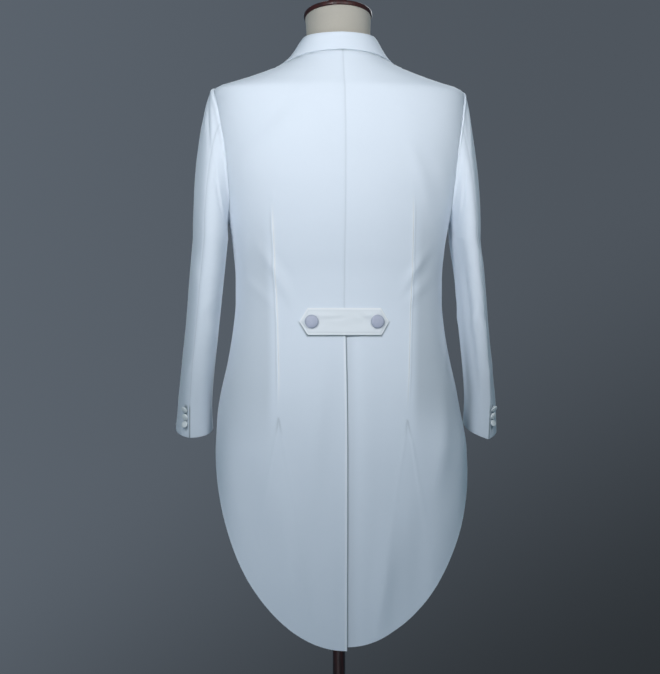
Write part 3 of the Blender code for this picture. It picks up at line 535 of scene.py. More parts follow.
# Soft folds of the body: (angle, z) to (angle, z), width and depth in metres
bodyFolds = {
    "unroll": 0.20,
    "lean": 0.0042,
    "creases": (
        (-64, 1.150, -50, 1.080, 0.010, 0.0024),
        (-70, 1.105, -50, 1.050, 0.010, 0.0013),
        (62, 1.150, 46, 1.060, 0.011, 0.0024),
        (72, 1.095, 55, 1.045, 0.009, 0.0011),
        (-40, 1.380, -62, 1.300, 0.016, 0.0014),
        (40, 1.405, 62, 1.330, 0.013, 0.0036),
        (-44, 1.330, -58, 1.230, 0.012, 0.0024),
        (-74, 1.020, -79, 0.900, 0.010, -0.0016),
        (-80, 0.990, -72, 0.930, 0.008, 0.0014),
        (-15, 1.440, -50, 1.415, 0.014, 0.0010),
        (18, 1.440, 46, 1.410, 0.016, 0.0009),
        (-49, 0.700, -47, 0.500, 0.020, -0.0026),
        (-30, 0.660, -24, 0.500, 0.022, 0.0046),
        (40, 0.720, 34, 0.520, 0.024, 0.0042),
        (62, 0.820, 55, 0.640, 0.024, -0.0026),
        (-66, 0.900, -56, 0.740, 0.016, 0.0034),
        (18, 0.940, 26, 0.720, 0.026, 0.0026),
        (-14, 0.930, -12, 0.640, 0.030, 0.0014),
        (110, 1.140, 132, 1.075, 0.011, 0.0014),
        (118, 1.110, 150, 1.080, 0.010, 0.0012),
        (-112, 1.135, -130, 1.070, 0.012, 0.0013),
        (-122, 1.100, -150, 1.076, 0.010, 0.0011),
        (128, 1.330, 112, 1.250, 0.016, 0.0014),
        (-126, 1.320, -110, 1.240, 0.015, 0.0015),
        (100, 1.000, 104, 0.880, 0.020, 0.0016),
        (-98, 1.010, -106, 0.890, 0.018, 0.0014),
    ),
}


def bodyRelief(angle, z):
    reach = bodyFolds["unroll"]
    creases = [(math.radians(a0) * reach, z0, math.radians(a1) * reach, z1, width, depth)
               for a0, z0, a1, z1, width, depth in bodyFolds["creases"]]
    turned = (np.asarray(angle) + math.pi) % (2 * math.pi) - math.pi
    relief = creaseField(turned * reach, z, creases)
    nearSleeve = smoothStep((np.abs(np.sin(angle)) - 0.90) / 0.08) * smoothStep((0.90 - z) / 0.06 + 1)
    calm = smoothStep((1.485 - z) / 0.03)
    lean = bodyFolds["lean"] * np.sin(turned) * smoothStep((0.885 - z) / 0.08) * smoothStep((z - 0.560) / 0.12)
    return relief * calm * (1 - 0.8 * nearSleeve * (z > 0.78)) - lean


# Back panels

backCut = {
    "innerColumns": 42,
    "outerColumns": 40,
    "dart": {"columns": ("z", "left", "right"),
             "rows": ((1.450, 0.1140, 0.1100), (1.250, 0.1230, 0.1162), (1.135, 0.1175, 0.1168),
                      (1.012, 0.1118, 0.1128), (0.940, 0.1115, 0.1088), (0.864, 0.1135, 0.1049),
                      (0.460, 0.1135, 0.1049))},
    "dartRidges": {False: 0.0017, True: 0.0025},
    "dartSpread": 0.014,
    "dartDepth": 0.0007,
    "dartWidth": 0.0012,
    "dartEnds": {False: (1.232, 0.868), True: (1.250, 0.865)},
    "ventTop": 1.004,
    "ventSlant": 0.020,
    "underlap": 0.030,
    "seamDip": 0.0007,
    "ventRoll": 0.0011,
    # Amounts of painted shade beyond the darts, left and right:
    "sideShades": {False: 0.22, True: 0.33},
    "leafAngles": (0.0, 42.0, 88.0),
    "leafHeights": (1.4935, 1.4895, 1.4775),
}
readDart = readTable(backCut["dart"])


def backPanel(right):
    which = "right" if right else "left"
    ventTop, slant = backCut["ventTop"], backCut["ventSlant"]
    heights = panelHeights(14, 44, np.linspace(coatCut["underarm"], coatCut["hemSplit"], 74)[1:])
    tail = np.linspace(0, 1, 76)[1:]

    under = -backCut["underlap"] * smoothStep((ventTop - heights) / slant)
    centre = np.where(heights >= ventTop, halfGap, under if right else -0.0015)
    low = angleAtX(centre, heights, False)
    dart = angleAtX(readDart(which, heights), heights, False)
    side = sideAngle(heights, False)
    inner = lerp(low[:, None], dart[:, None], gathered(backCut["innerColumns"], 0.75))
    outer = lerp(dart[:, None], side[:, None], gathered(backCut["outerColumns"], 0.75)[1:])
    angles = np.concatenate((inner, outer), 1)
    angles = np.concatenate((angles, np.repeat(angles[-1:], len(tail), 0)))
    side0 = angles[:, -1:]
    z = np.repeat(heights[:, None], angles.shape[1], 1)
    hem = hemHeight(angles[-1], right)
    z = np.concatenate((z, lerp(coatCut["hemSplit"], hem, tail[:, None])))

    x = bodyBase(angles, z)[..., 0]
    down = smoothStep((1.045 - z) / (1.045 - ventTop))
    drop = -(wall + coatCut["lapGap"]) * down * smoothStep((0.034 - x) / 0.028) if right else 0.0
    top, end = backCut["dartEnds"][right]
    stretch = smoothStep((top - z) / 0.05) * smoothStep((z - end) / 0.09)
    aside = (angles - angleAtX(readDart(which, z), z, False)) * 0.17
    groove = backCut["dartRidges"][right] * stretch * np.exp(-np.abs(aside) / backCut["dartSpread"])
    groove = groove - backCut["dartDepth"] * stretch * np.exp(-((aside - 0.0016) / backCut["dartWidth"]) ** 2)
    pucker = 0.0009 * np.exp(-(aside / 0.006) ** 2 - ((z - top - 0.004) / 0.008) ** 2)
    fork = (end - 0.004 - z) * 0.16
    pucker = pucker + 0.0006 * smoothStep((end - z) / 0.004) * smoothStep((end - 0.045 - z) / 0.03 + 1) * (
        np.exp(-((aside - fork) / 0.0022) ** 2) + np.exp(-((aside + fork) / 0.0022) ** 2))
    seam = -backCut["seamDip"] * np.exp(-np.abs(x) / 0.0035) * smoothStep((z - ventTop) / 0.02)
    turnUp = 0.0005 * np.exp(-((z - hemHeight(angles, right)) / 0.006) ** 2) * (z < coatCut["hemSplit"])
    roll = 0.0 if right else backCut["ventRoll"] * down * np.exp(-((x + 0.0015) / 0.006) ** 2)
    relief = bodyRelief(-angles if right else angles, z) + groove + pucker + seam + turnUp + drop + roll
    toSide = (side0 - angles) * 0.17
    # Painted shade (positive) and painted highlight (negative) for the shade attribute: a light line on each dart with
    # a darker band outside it, a broad darker band from the dart to the side at the waist, a soft darker band by the
    # armhole, dark lines along the centre-back seam, under the collar's edge, at the armhole and along the dart's
    # forked end, and a light line along the left panel's vent edge.
    shade = (0.24 * np.exp(-((aside - 0.0036) / 0.0018) ** 2) - 1.00 * np.exp(-((aside - 0.0006) / 0.0018) ** 2)) * stretch
    sideShadeMask = smoothStep((1.24 - z) / 0.14) * smoothStep((z - 0.80) / 0.12) * smoothStep(toSide / 0.05)
    shade = shade + backCut["sideShades"][right] * sideShadeMask * smoothStep((aside - 0.006) / 0.016)
    shade = shade + 0.20 * np.exp(-np.abs(x) / 0.0012) * (z > ventTop)
    leafEdge = np.interp(np.degrees(angles), backCut["leafAngles"], backCut["leafHeights"])
    shade = shade + 0.62 * np.exp(-np.maximum(leafEdge - z, 0) / 0.0015)
    if not right:
        shade = shade - 0.60 * np.exp(-((x - 0.0008) / 0.0016) ** 2) * smoothStep((ventTop - z) / 0.01)
    shade = shade + 0.26 * np.exp(-toSide / 0.0022) * (z > coatCut["underarm"])
    shade = shade + 0.20 * np.exp(-toSide / 0.012 - ((z - 1.235) / 0.070) ** 2)
    near = np.minimum(np.abs(aside - fork), np.abs(aside + fork))
    shade = shade + 0.30 * np.exp(-(near / 0.0016) ** 2) * (z < end - 0.004) * smoothStep((z - end + 0.040) / 0.03)
    layers = bodyPoint(angles, z, relief), bodyPoint(angles, z, relief - wall)
    return ([mirrored(layer) for layer in layers] if right else layers), shade


for side, right in (("Left", False), ("Right", True)):
    layers, shade = backPanel(right)
    wallPiece(f"back{side}", *layers, coatCloth, "coat_cloth", [f"back_{side.lower()}"], shade=shade)
print("back panels made")


# Front panels

frontCut = {
    "outerColumns": 36,
    "innerColumns": 36,
    "roll": {"columns": ("z", "x"),
             "rows": ((1.4985, 0.0690), (1.485, 0.0720), (1.449, 0.0690), (1.350, 0.0520), (1.220, 0.0220),
                      (1.104, -0.013))},
    "dart": {"columns": ("z", "share"),
             "rows": ((1.50, 0.50), (1.30, 0.50), (1.10, 0.46), (0.80, 0.46))},
    "dartEnds": (1.290, 1.090),
    "lap": 0.013,
    "lapRamp": 0.060,
    "lapTop": 1.250,
    "lapFull": 1.120,
}
readRoll = readTable(frontCut["roll"])
readFrontDart = readTable(frontCut["dart"])


def frontLap(x, z):
    # The left front rises over the right one near the waist button.
    ramp = smoothStep((frontCut["lap"] + frontCut["lapRamp"] - x) / frontCut["lapRamp"])
    nearWaist = smoothStep((frontCut["lapTop"] - z) / (frontCut["lapTop"] - frontCut["lapFull"]))
    return (wall + coatCut["lapGap"]) * ramp * nearWaist


def frontPanel(over):
    heights = panelHeights(14, 44, np.linspace(coatCut["underarm"], coatCut["rollEnd"], 26)[1:])
    skirt = np.linspace(0, 1, 60)[1:]
    side = sideAngle(heights, True)
    roll = angleAtX(readRoll("x", heights), heights, True)
    dart = lerp(side, roll, readFrontDart("share", heights))
    outer = lerp(side[:, None], dart[:, None], gathered(frontCut["outerColumns"]))
    inner = lerp(dart[:, None], roll[:, None], gathered(frontCut["innerColumns"])[1:])
    angles = np.concatenate((outer, inner), 1)
    angles = np.concatenate((angles, np.repeat(angles[-1:], len(skirt), 0)))
    z = np.repeat(heights[:, None], angles.shape[1], 1)
    hem = hemHeight(angles[-1])
    z = np.concatenate((z, lerp(coatCut["rollEnd"], hem, skirt[:, None])))

    top, end = frontCut["dartEnds"]
    stretch = smoothStep((top - z) / 0.05) * smoothStep((z - end) / 0.05)
    aside = (angles - angles[:, frontCut["outerColumns"]][:, None]) * 0.15
    groove = -0.0008 * stretch * np.exp(-np.abs(aside) / 0.003)
    turnUp = 0.0004 * np.exp(-((z - hemHeight(angles)) / 0.006) ** 2) * (z < coatCut["rollEnd"])
    underLapel = 1 - smoothStep((0.20 - np.abs(readRoll("x", z) + 0.10)) / 0.05) * (z > coatCut["rollEnd"])
    relief = bodyRelief(angles if over else -angles, z) * (0.35 + 0.65 * underLapel) + groove + turnUp
    if over:
        relief = relief + frontLap(bodyBase(angles, z)[..., 0], z)
    grid = bodyPoint(angles, z, relief), bodyPoint(angles, z, relief - wall)
    return grid if over else [mirrored(layer) for layer in grid]


frontLeft = wallPiece("frontLeft", *frontPanel(True), coatCloth, "coat_cloth", ["front_left"])
frontRight = wallPiece("frontRight", *frontPanel(False), coatCloth, "coat_cloth", ["front_right"])
print("front panels made")


# Sleeves

sleeveCut = {
    "Left": {
        "columns": ("z", "x", "y", "half_x", "half_y"),
        "rows": (
            (1.170, 0.2245, 0.000, 0.0305, 0.0780),
            (1.100, 0.2310, -0.003, 0.0300, 0.0760),
            (1.020, 0.2380, -0.010, 0.0290, 0.0720),
            (0.940, 0.2460, -0.022, 0.0290, 0.0650),
            (0.880, 0.2505, -0.033, 0.0300, 0.0580),
            (0.820, 0.2515, -0.045, 0.0345, 0.0520),
        ),
        "headSwell": 0.0125,
    },
    "Right": {
        "columns": ("z", "x", "y", "half_x", "half_y"),
        "rows": (
            (1.170, 0.2222, 0.000, 0.0242, 0.0780),
            (1.100, 0.2315, -0.003, 0.0228, 0.0760),
            (1.020, 0.2392, -0.010, 0.0230, 0.0720),
            (0.940, 0.2490, -0.022, 0.0236, 0.0650),
            (0.880, 0.2550, -0.033, 0.0260, 0.0580),
            (0.820, 0.2560, -0.045, 0.0300, 0.0520),
        ),
        "headSwell": 0.0020,
    },
    "power": 2.25,
    "headDrop": 0.118,
    "top": 1.170,
    "cuff": 0.841,
    "cuffTilt": 0.25,
    "cuffDips": {"Left": 0.0026, "Right": 0.0054},
    "cuffRounds": {"Left": 0.50, "Right": 0.10},
    # Amounts of painted shade towards the cuffs, left and right:
    "cuffwardShades": {"Left": 0.18, "Right": 0.25},
    "buttonTurn": 51,
    "buttonDown": 1.940,
    "buttonPitch": 0.0128,
    "hindarmRidges": {"Left": 0.0010, "Right": 0.0022},
    "hindarm": 4 * 180 / 11,
    "forearm": 15 * 180 / 11,
    "columns": 64,
    "headRows": 40,
    "armRows": 80,
}
readSleeve = {side: readTable(sleeveCut[side]) for side in ("Left", "Right")}

# Soft folds of a sleeve: (turn in degrees, way down) to the same, width and depth in metres
sleeveFolds = {
    "unroll": 0.055,
    "length": 0.33,
    "Left": (
        (24, 0.20, 56, 0.42, 0.007, -0.0017),
        (78, 0.44, 122, 0.66, 0.008, -0.0018),
        (100, 1.42, 150, 1.50, 0.010, 0.0018),
        (70, 1.38, 110, 1.33, 0.011, 0.0015),
        (200, 1.36, 240, 1.46, 0.010, 0.0019),
        (215, 1.52, 255, 1.45, 0.009, 0.0014),
        (20, 1.10, 60, 1.24, 0.014, 0.0013),
        (330, 1.05, 305, 1.25, 0.014, 0.0013),
        (30, 1.72, 75, 1.60, 0.012, 0.0010),
        (320, 1.55, 275, 1.46, 0.012, 0.0013),
        (5, 0.45, 25, 0.95, 0.013, 0.0014),
        (342, 0.40, 325, 0.92, 0.014, 0.0013),
    ),
    "Right": (
        (18, 0.14, 50, 0.46, 0.009, 0.0013),
        (84, 0.40, 118, 0.60, 0.008, -0.0016),
        (138, 1.02, 126, 1.74, 0.009, -0.0026),
        (95, 1.36, 140, 1.47, 0.011, 0.0017),
        (60, 1.46, 105, 1.40, 0.010, 0.0014),
        (205, 1.40, 250, 1.50, 0.011, 0.0017),
        (220, 1.30, 260, 1.36, 0.009, 0.0013),
        (40, 1.16, 75, 1.02, 0.013, 0.0014),
        (335, 1.12, 300, 1.22, 0.014, 0.0012),
        (25, 1.62, 70, 1.70, 0.012, 0.0011),
        (325, 1.60, 280, 1.52, 0.011, 0.0012),
        (12, 0.50, 30, 0.90, 0.012, 0.0012),
        (345, 0.44, 322, 0.86, 0.013, 0.0012),
    ),
}


def sleeveSection(side, turn, z):
    read, across, along, power = readSleeve[side], np.cos(turn), np.sin(turn), sleeveCut["power"]
    radius = ((np.abs(across) / read("half_x", z)) ** power
              + (np.abs(along) / read("half_y", z)) ** power) ** (-1 / power)
    return np.stack((read("x", z) + radius * across, read("y", z) + radius * along,
                     np.broadcast_to(z, radius.shape)), -1)


def armholePoint(turn):
    z = armholeMiddle + (armholeReach - halfGap) * np.cos(turn)
    front = np.sin(turn) < 0
    reach = np.where(front, coatCut["armholeFront"], coatCut["armholeBack"]) - halfGap
    return bodyBase(angleAtDepth(reach * np.abs(np.sin(turn)), z, front), z) + np.array((halfGap, 0.0, 0.0))


def sleevePoint(side, turn, down):
    # down: 0 at the armhole, 1 at the top section, 2 at the cuff's edge
    turn, down = np.broadcast_arrays(turn, down)
    topZ, cuffZ, read = sleeveCut["top"], sleeveCut["cuff"], readSleeve[side]
    spread = np.arctan2(np.sin(turn) * read("half_y", topZ), np.cos(turn) * read("half_x", topZ))
    start, end = armholePoint(turn), sleeveSection(side, spread, np.full(turn.shape, topZ))
    top = ((1 + np.cos(turn)) / 2)[..., None]
    leave = start + top * np.array((sleeveCut[side]["headSwell"], 0.0, 0.003)) + np.array((0.004, 0.0, 0.0))
    arrive = end + (0.010 + sleeveCut["headDrop"] * top**1.3) * np.array((0.0, 0.0, 1.0))
    t = np.minimum(down, 1.0)[..., None]
    head = (1 - t) ** 3 * start + 3 * (1 - t) ** 2 * t * leave + 3 * (1 - t) * t**2 * arrive + t**3 * end
    cuff = sleeveSection(side, spread, np.full(turn.shape, cuffZ))
    low = cuffZ - sleeveCut["cuffTilt"] * (cuff[..., 1] - read("y", cuffZ))
    arm = sleeveSection(side, spread, lerp(topZ, low, np.maximum(down, 1.0) - 1))
    return np.where((down <= 1)[..., None], head, arm)


def sleeveOut(side, turn, down):
    turn, down = np.broadcast_arrays(turn, down)
    low = np.where(down > 1, np.maximum(down - 0.004, 1.0001), np.maximum(down - 0.004, 0.0))
    high = np.where(down > 1, np.minimum(down + 0.004, 2.0), np.minimum(down + 0.004, 1.0))
    along = sleevePoint(side, turn, high) - sleevePoint(side, turn, low)
    around = sleevePoint(side, turn + 0.01, down) - sleevePoint(side, turn - 0.01, down)
    return -unit(np.cross(around, along))


def sleeveShell(side, first, last):
    gap = halfGap / 0.07
    turns = lerp(math.radians(first) + gap, math.radians(last) - gap, gathered(sleeveCut["columns"], 0.5))[None, :]
    downs = np.concatenate((np.linspace(0, 1, sleeveCut["headRows"], endpoint=False),
                            np.linspace(1, 2, sleeveCut["armRows"])))[:, None]
    reach, length = sleeveFolds["unroll"], sleeveFolds["length"]
    folds = [(math.radians(a0) * reach, d0 * length, math.radians(a1) * reach, d1 * length, w, h)
             for a0, d0, a1, d1, w, h in sleeveFolds[side]]
    turned = turns % (2 * math.pi)
    relief = creaseField(turned * reach, downs * length, folds)
    relief = relief + creaseField((turned - 2 * math.pi) * reach, downs * length, folds)
    calm = smoothStep(downs / 0.12) * smoothStep((2.0 - downs) / 0.04)
    headRoll = 0.0018 * np.exp(-((downs - 0.09) / 0.05) ** 2) * (0.5 + 0.5 * np.cos(turns)) ** 0.4
    away = np.minimum(np.abs(turns - math.radians(first)), np.abs(turns - math.radians(last))) * 0.06
    seam = -0.0004 * np.exp(-away / 0.003) * (downs > 0.05)
    hind = np.abs((turns - math.radians(sleeveCut["hindarm"]) + math.pi) % (2 * math.pi) - math.pi)
    ridge = sleeveCut["hindarmRidges"][side] * np.exp(-hind * 0.06 / 0.010) * smoothStep((downs - 1.1) / 0.5)
    out = relief * calm + headRoll + seam + ridge
    points, ways = sleevePoint(side, turns, downs), sleeveOut(side, turns, downs)
    fall = np.maximum(1.4 - 1.1 * np.hypot(hind, sleeveCut["cuffRounds"][side]), -0.6)
    dip = sleeveCut["cuffDips"][side] * fall * smoothStep((downs - 1.75) / 0.25)
    points = points - dip[..., None] * np.array((0.0, 0.0, 1.0))
    layers = points + ways * out[..., None], points + ways * (out - wall)[..., None]
    # Painted shade for the shade attribute: lines at the armhole and along the sleeve seams, the cuff slit, greyer
    # towards the cuff, a darker strip on the inner side, and a painted shadow round each cuff button.
    shade = 0.22 * np.exp(-downs / 0.012) + 0.20 * np.exp(-away / 0.0014) * (downs > 0.05)
    shade = shade + 0.80 * np.exp(-(hind * 0.06 / 0.0024) ** 2) * smoothStep((downs - 1.83) / 0.03)
    shade = shade + sleeveCut["cuffwardShades"][side] * smoothStep((downs - 1.25) / 0.60)
    inward = np.abs(turned - math.radians(160)) * 0.06
    shade = shade + 0.46 * np.exp(-(inward / 0.014) ** 2) * smoothStep((downs - 1.40) / 0.35)
    for k in range(3):
        row = sleeveCut["buttonDown"] - k * sleeveCut["buttonPitch"] / length
        reachTo = np.hypot((turned - math.radians(sleeveCut["buttonTurn"])) * 0.06, (downs - row) * length)
        shade = np.maximum(shade, 0.85 * (1 - smoothStep((reachTo - 0.0058) / 0.0040)))
    return (layers if side == "Left" else [mirrored(layer) for layer in layers]), shade


for side in ("Left", "Right"):
    for part, first, last in (("Under", sleeveCut["hindarm"], sleeveCut["forearm"]),
                              ("Upper", sleeveCut["forearm"], 360 + sleeveCut["hindarm"])):
        layers, shade = sleeveShell(side, first, last)
        piece = wallPiece(f"sleeve{part}{side}", *layers, coatCloth, "coat_cloth",
                          [f"sleeve_{part.lower()}_{side.lower()}"], shade=shade)
print("sleeves made")

# Collar, one strip folded over: stand, fold and leaf

collarCut = {
    "columns": ("station", "angle", "z", "lift", "lean", "edgeAngle", "edgeZ"),
    "rows": (
        (0.00, 0.0, 1.4992, 0.0235, 0.0035, 0.0, 1.4935),
        (0.25, 42.0, 1.4992, 0.0225, -0.0005, 42.0, 1.4895),
        (0.50, 88.0, 1.4992, 0.0195, -0.0070, 88.0, 1.4775),
        (0.75, 126.0, 1.4800, 0.0100, 0.0000, 113.0, 1.4575),
        (1.00, 140.5, 1.4495, 0.0042, 0.0000, 128.0, 1.4325),
    ),
    "side": 0.5,
    "gap": 0.0009,
    "edgeGap": 0.0003,
    "stations": 56,
    "aroundPoints": 4,
}
readCollar = readTable(collarCut)


def collarSections(at):
    neckZ = readCollar("z", at)
    beyond = angleAtX(readRoll("x", neckZ), neckZ, True)
    neckAngle = np.where(at <= collarCut["side"], np.radians(readCollar("angle", at)), beyond)
    edgeAngle, edgeZ = np.radians(readCollar("edgeAngle", at)), readCollar("edgeZ", at)
    neck, normal = bodyBase(neckAngle, neckZ), bodyNormal(neckAngle, neckZ)
    away = np.stack((np.sin(neckAngle), np.cos(neckAngle), np.zeros(at.shape)), -1)
    stand = smoothStep((readCollar("lift", at) - 0.005) / 0.012)[:, None]
    side = unit(lerp(unit(bodyBase(edgeAngle, edgeZ) - neck), away, stand))
    rise = unit(lerp(normal, np.array((0.0, 0.0, 1.0)), stand))
    fold = neck + rise * readCollar("lift", at)[:, None] + away * readCollar("lean", at)[:, None]
    lift = fold - bodyPoint(neckAngle, neckZ, np.full(at.shape, collarCut["gap"]))

    def leaf(share, out):
        angle, z = lerp(neckAngle, edgeAngle, share), lerp(neckZ, edgeZ, share)
        thick = unit(bodyNormal(angle, z) + away * (1 - share) * stand) * out
        close = lerp(collarCut["gap"], collarCut["edgeGap"], share**2)
        return bodyPoint(angle, z, np.full(at.shape, close)) + lift * (1 - share) ** 1.15 + thick

    foot = neck + rise * 0.0014 - away * (0.0008 * stand)
    middle = lerp(foot, fold, 0.5)
    outside = [leaf(share, wall) for share in (0.12, 0.35, 0.6, 0.82, 1.0)]
    inside = [leaf(share, 0.0) for share in (1.0, 0.82, 0.6, 0.35, 0.16)]
    points = [foot - side * 0.0010, middle - side * 0.0012, fold - side * 0.0012 + rise * 0.0004,
              fold + rise * 0.0012 + side * 0.0006, *outside, *inside, fold - rise * 0.0008 + side * 0.0006,
              middle + side * 0.0006, foot + side * 0.0008]
    return np.stack(points, 1)


def rounded(loops, corners, factor):
    # More points round each loop, on a smooth curve that keeps the named corners.
    count = loops.shape[1]
    ahead, behind = np.roll(loops, -1, axis=1), np.roll(loops, 1, axis=1)
    tangents = (ahead - behind) / 2
    short = np.minimum(np.linalg.norm(ahead - loops, axis=2), np.linalg.norm(loops - behind, axis=2))
    size = np.maximum(np.linalg.norm(tangents, axis=2), 1e-9)
    tangents *= np.minimum(1.0, short / size)[..., None]
    tangents[:, corners] = 0.0
    rings = []
    for k in range(count):
        after = (k + 1) % count
        for t in np.linspace(0, 1, factor, endpoint=False):
            rings.append((2 * t**3 - 3 * t**2 + 1) * loops[:, k] + (t**3 - 2 * t**2 + t) * tangents[:, k]
                         + (3 * t**2 - 2 * t**3) * loops[:, after] + (t**3 - t**2) * tangents[:, after])
    return np.stack(rings, 1)


collarHalf = collarSections(np.linspace(0, 1, collarCut["stations"]))
collarLoops = np.concatenate((mirrored(collarHalf[:0:-1]), collarHalf))
collarLoops = rounded(collarLoops, [0, 8, 9, 16], collarCut["aroundPoints"])
collar = loopPiece("collarFold", collarLoops, coatCloth, ["collar"], 0.0004)
print("collar made")


# Lapels

lapelCut = {
    "columns": ("down", "x"),
    "rows": ((0.00, 0.1420), (0.10, 0.1340), (0.25, 0.1220), (0.50, 0.0880), (0.75, 0.0470), (0.92, 0.0080),
             (1.00, -0.0080)),
    "gorgeGap": 0.0012,
    "peakRise": 0.0130,
    "peakLift": 0.0056,
    "gap": 0.0009,
    "lapelRows": 110,
    "lapelColumns": 15,
}
readLapel = readTable(lapelCut)
gorgeShares = np.linspace(0, 1, 17)
gorgeZ = lerp(readCollar("z", 1.0), readCollar("edgeZ", 1.0), gorgeShares)
gorgeAngles = lerp(angleAtX(readRoll("x", gorgeZ[0]), gorgeZ[0], True), math.radians(readCollar("edgeAngle", 1.0)),
                   gorgeShares)
gorgeX = bodyBase(gorgeAngles, gorgeZ)[..., 0]


def lapelTop(x):
    # Height of the upper edge: along the gorge under the collar's end, then up to the peak.
    climb = (x - gorgeX[-1]) / (lapelCut["rows"][0][1] - gorgeX[-1])
    along = np.interp(x, gorgeX, gorgeZ)
    return along - lapelCut["gorgeGap"] + lapelCut["peakRise"] * np.maximum(climb, 0.0)


def lapelShell(over):
    topZ = float(lapelTop(readRoll("x", readCollar("z", 1.0))))
    start = readRoll("x", topZ) - 0.001
    notch = (gorgeX[-1] - start) / (lapelCut["rows"][0][1] - start)
    down = np.linspace(0, 1, lapelCut["lapelRows"])[:, None]
    across = np.concatenate((lerp(0.0, notch, gathered(lapelCut["lapelColumns"], 0.4)),
                             lerp(notch, 1.0, gathered(lapelCut["lapelColumns"], 0.4)[1:])))[None, :]
    lineZ = lerp(topZ, coatCut["rollEnd"], down)
    topX = lerp(start, lapelCut["rows"][0][1], across)
    z = lineZ + (lapelTop(topX) - topZ) * (1 - down) ** 4
    innerX = readRoll("x", lineZ) - 0.001
    if not over:
        innerX = np.maximum(innerX, 0.004 - readRoll("x", lineZ))
    edgeX = np.maximum(readLapel("x", down), innerX + 0.003)
    x = lerp(innerX, edgeX, across)
    proud = lapelCut["gap"] + 0.0012 * (1 - across) ** 2 * (1 - down) + lapelCut["peakLift"] * across * (1 - down) ** 3
    proud = proud + (frontLap(x, z) if over else 0.0)
    roll = 0.0016 * np.exp(-((across * (edgeX - innerX)) / 0.012) ** 2) * (1 - down) ** 0.5
    angles = angleAtX(x, z, True)
    edge = (1 - across) * (edgeX - innerX)
    # Painted shade along the lapel's outer edge, and a thin darker line 6 mm in from it.
    shade = 0.30 * np.exp(-edge / 0.0014) + 0.16 * np.exp(-((edge - 0.0060) / 0.0009) ** 2)
    return (bodyPoint(angles, z, proud + roll + wall), bodyPoint(angles, z, proud + roll * 0.4)), shade


for side, over in (("Left", True), ("Right", False)):
    layers, shade = lapelShell(over)
    layers = layers if over else [mirrored(layer) for layer in layers]
    wallPiece(f"lapel{side}", *layers, coatCloth, "coat_cloth", [f"lapel_{side.lower()}"], 0.0006, shade)
print("lapels made")


# Back belt

beltCut = {
    "halfLength": 0.0765,
    "halfStraight": 0.0625,
    "height": 0.047,
    "z": 1.026,
    "thickness": 0.0026,
    "lift": 0.0012,
    "beltRows": 28,
    "beltColumns": 90,
    "puffs": (
        (-0.060, 1.040, -0.020, 1.032, 0.005, 0.0016),
        (0.058, 1.037, 0.016, 1.034, 0.004, 0.0015),
        (-0.022, 1.038, -0.052, 1.022, 0.004, -0.0012),
        (0.034, 1.030, 0.000, 1.031, 0.003, -0.0010),
        (-0.048, 1.012, -0.016, 1.016, 0.005, 0.0006),
        (0.050, 1.013, 0.020, 1.014, 0.005, 0.0006),
        (-0.018, 1.030, 0.020, 1.027, 0.006, 0.0005),
    ),
}


def beltShell():
    height = 1 - 2 * gathered(beltCut["beltRows"], 0.5)[:, None]
    share = (2 * gathered(beltCut["beltColumns"], 0.5) - 1)[None, :]
    length = lerp(beltCut["halfLength"], beltCut["halfStraight"], np.abs(height))
    x, z = np.broadcast_arrays(length * share, beltCut["z"] + height * beltCut["height"] / 2)
    edge = np.minimum((1 - np.abs(height)) * beltCut["height"] / 2, length * (1 - np.abs(share)))
    # Painted highlight just inside the belt's edges, a faint darker line 4.5 mm in, and painted shade along its lower
    # edge.
    shade = 0.09 * np.exp(-((edge - 0.0045) / 0.0014) ** 2) - 0.9 * np.exp(-((edge - 0.0015) / 0.0014) ** 2)
    shade = shade * (np.abs(height) < 1) + 0.5 * np.exp(-edge / 0.0008) * (height < -0.9)
    pad = 0.0010 * smoothStep(edge / 0.006) - 0.0002 * np.exp(-((edge - 0.0022) / 0.0007) ** 2)
    angles = angleAtX(x, z, False)
    base = coatCut["laidGap"] + bodyRelief(angles, z) + beltCut["lift"] * smoothStep((-height - 0.2) / 0.8)
    top = base + beltCut["thickness"] - 0.0006 + pad + np.maximum(creaseField(x, z, beltCut["puffs"]), -0.0009)
    return (bodyPoint(angles, z, top), bodyPoint(angles, z, base)), shade


layers, shade = beltShell()
backBelt = wallPiece("backBelt", *layers, beltClothPaintedLighter, "coat_cloth", ["back_belt"], 0.0009, shade)
print("belt made")


# Covered buttons

buttonCut = {"diameter": 0.0236, "height": 0.0058, "steps": 72, "pleats": 26, "beltX": 0.0555, "beltZ": 1.0255,
             "waistZ": 1.080}
cuffButtonCut = {"diameter": 0.0122, "height": 0.0036, "steps": 48, "pleats": 16, "tilts": (26, -12, -30)}


def coveredButton(name, cut, spot, normal, node, finish=buttonSatin):
    # A domed cap of satin drawn over the rim, with small pleats where it turns under.
    radius, tall = cut["diameter"] / 2, cut["height"]
    turns = np.linspace(0, 2 * math.pi, cut["steps"], endpoint=False)
    profile = [(0.04, 1.0, 0.0), (0.25, 0.992, 0.0), (0.50, 0.965, 0.0), (0.70, 0.915, 0.1), (0.84, 0.84, 0.25),
               (0.93, 0.73, 0.5), (0.985, 0.58, 0.8), (1.0, 0.44, 1.0), (0.985, 0.30, 1.0), (0.95, 0.17, 1.0),
               (0.90, 0.06, 1.0), (0.86, 0.0, 0.6)]
    out = Vector(normal).normalized()
    across = out.orthogonal().normalized()
    other = out.cross(across)
    axes = np.array((across, other, out))
    rings = []
    for share, height, pleat in profile:
        wave = 1 - 0.018 * pleat * (0.5 + 0.5 * np.cos(cut["pleats"] * turns))
        ring = np.stack((radius * share * wave * np.cos(turns), radius * share * wave * np.sin(turns),
                         np.full(turns.shape, tall * height)), -1)
        rings.append(ring @ axes + np.array(spot))
    return loopPiece(name, np.array(rings), finish, [node])


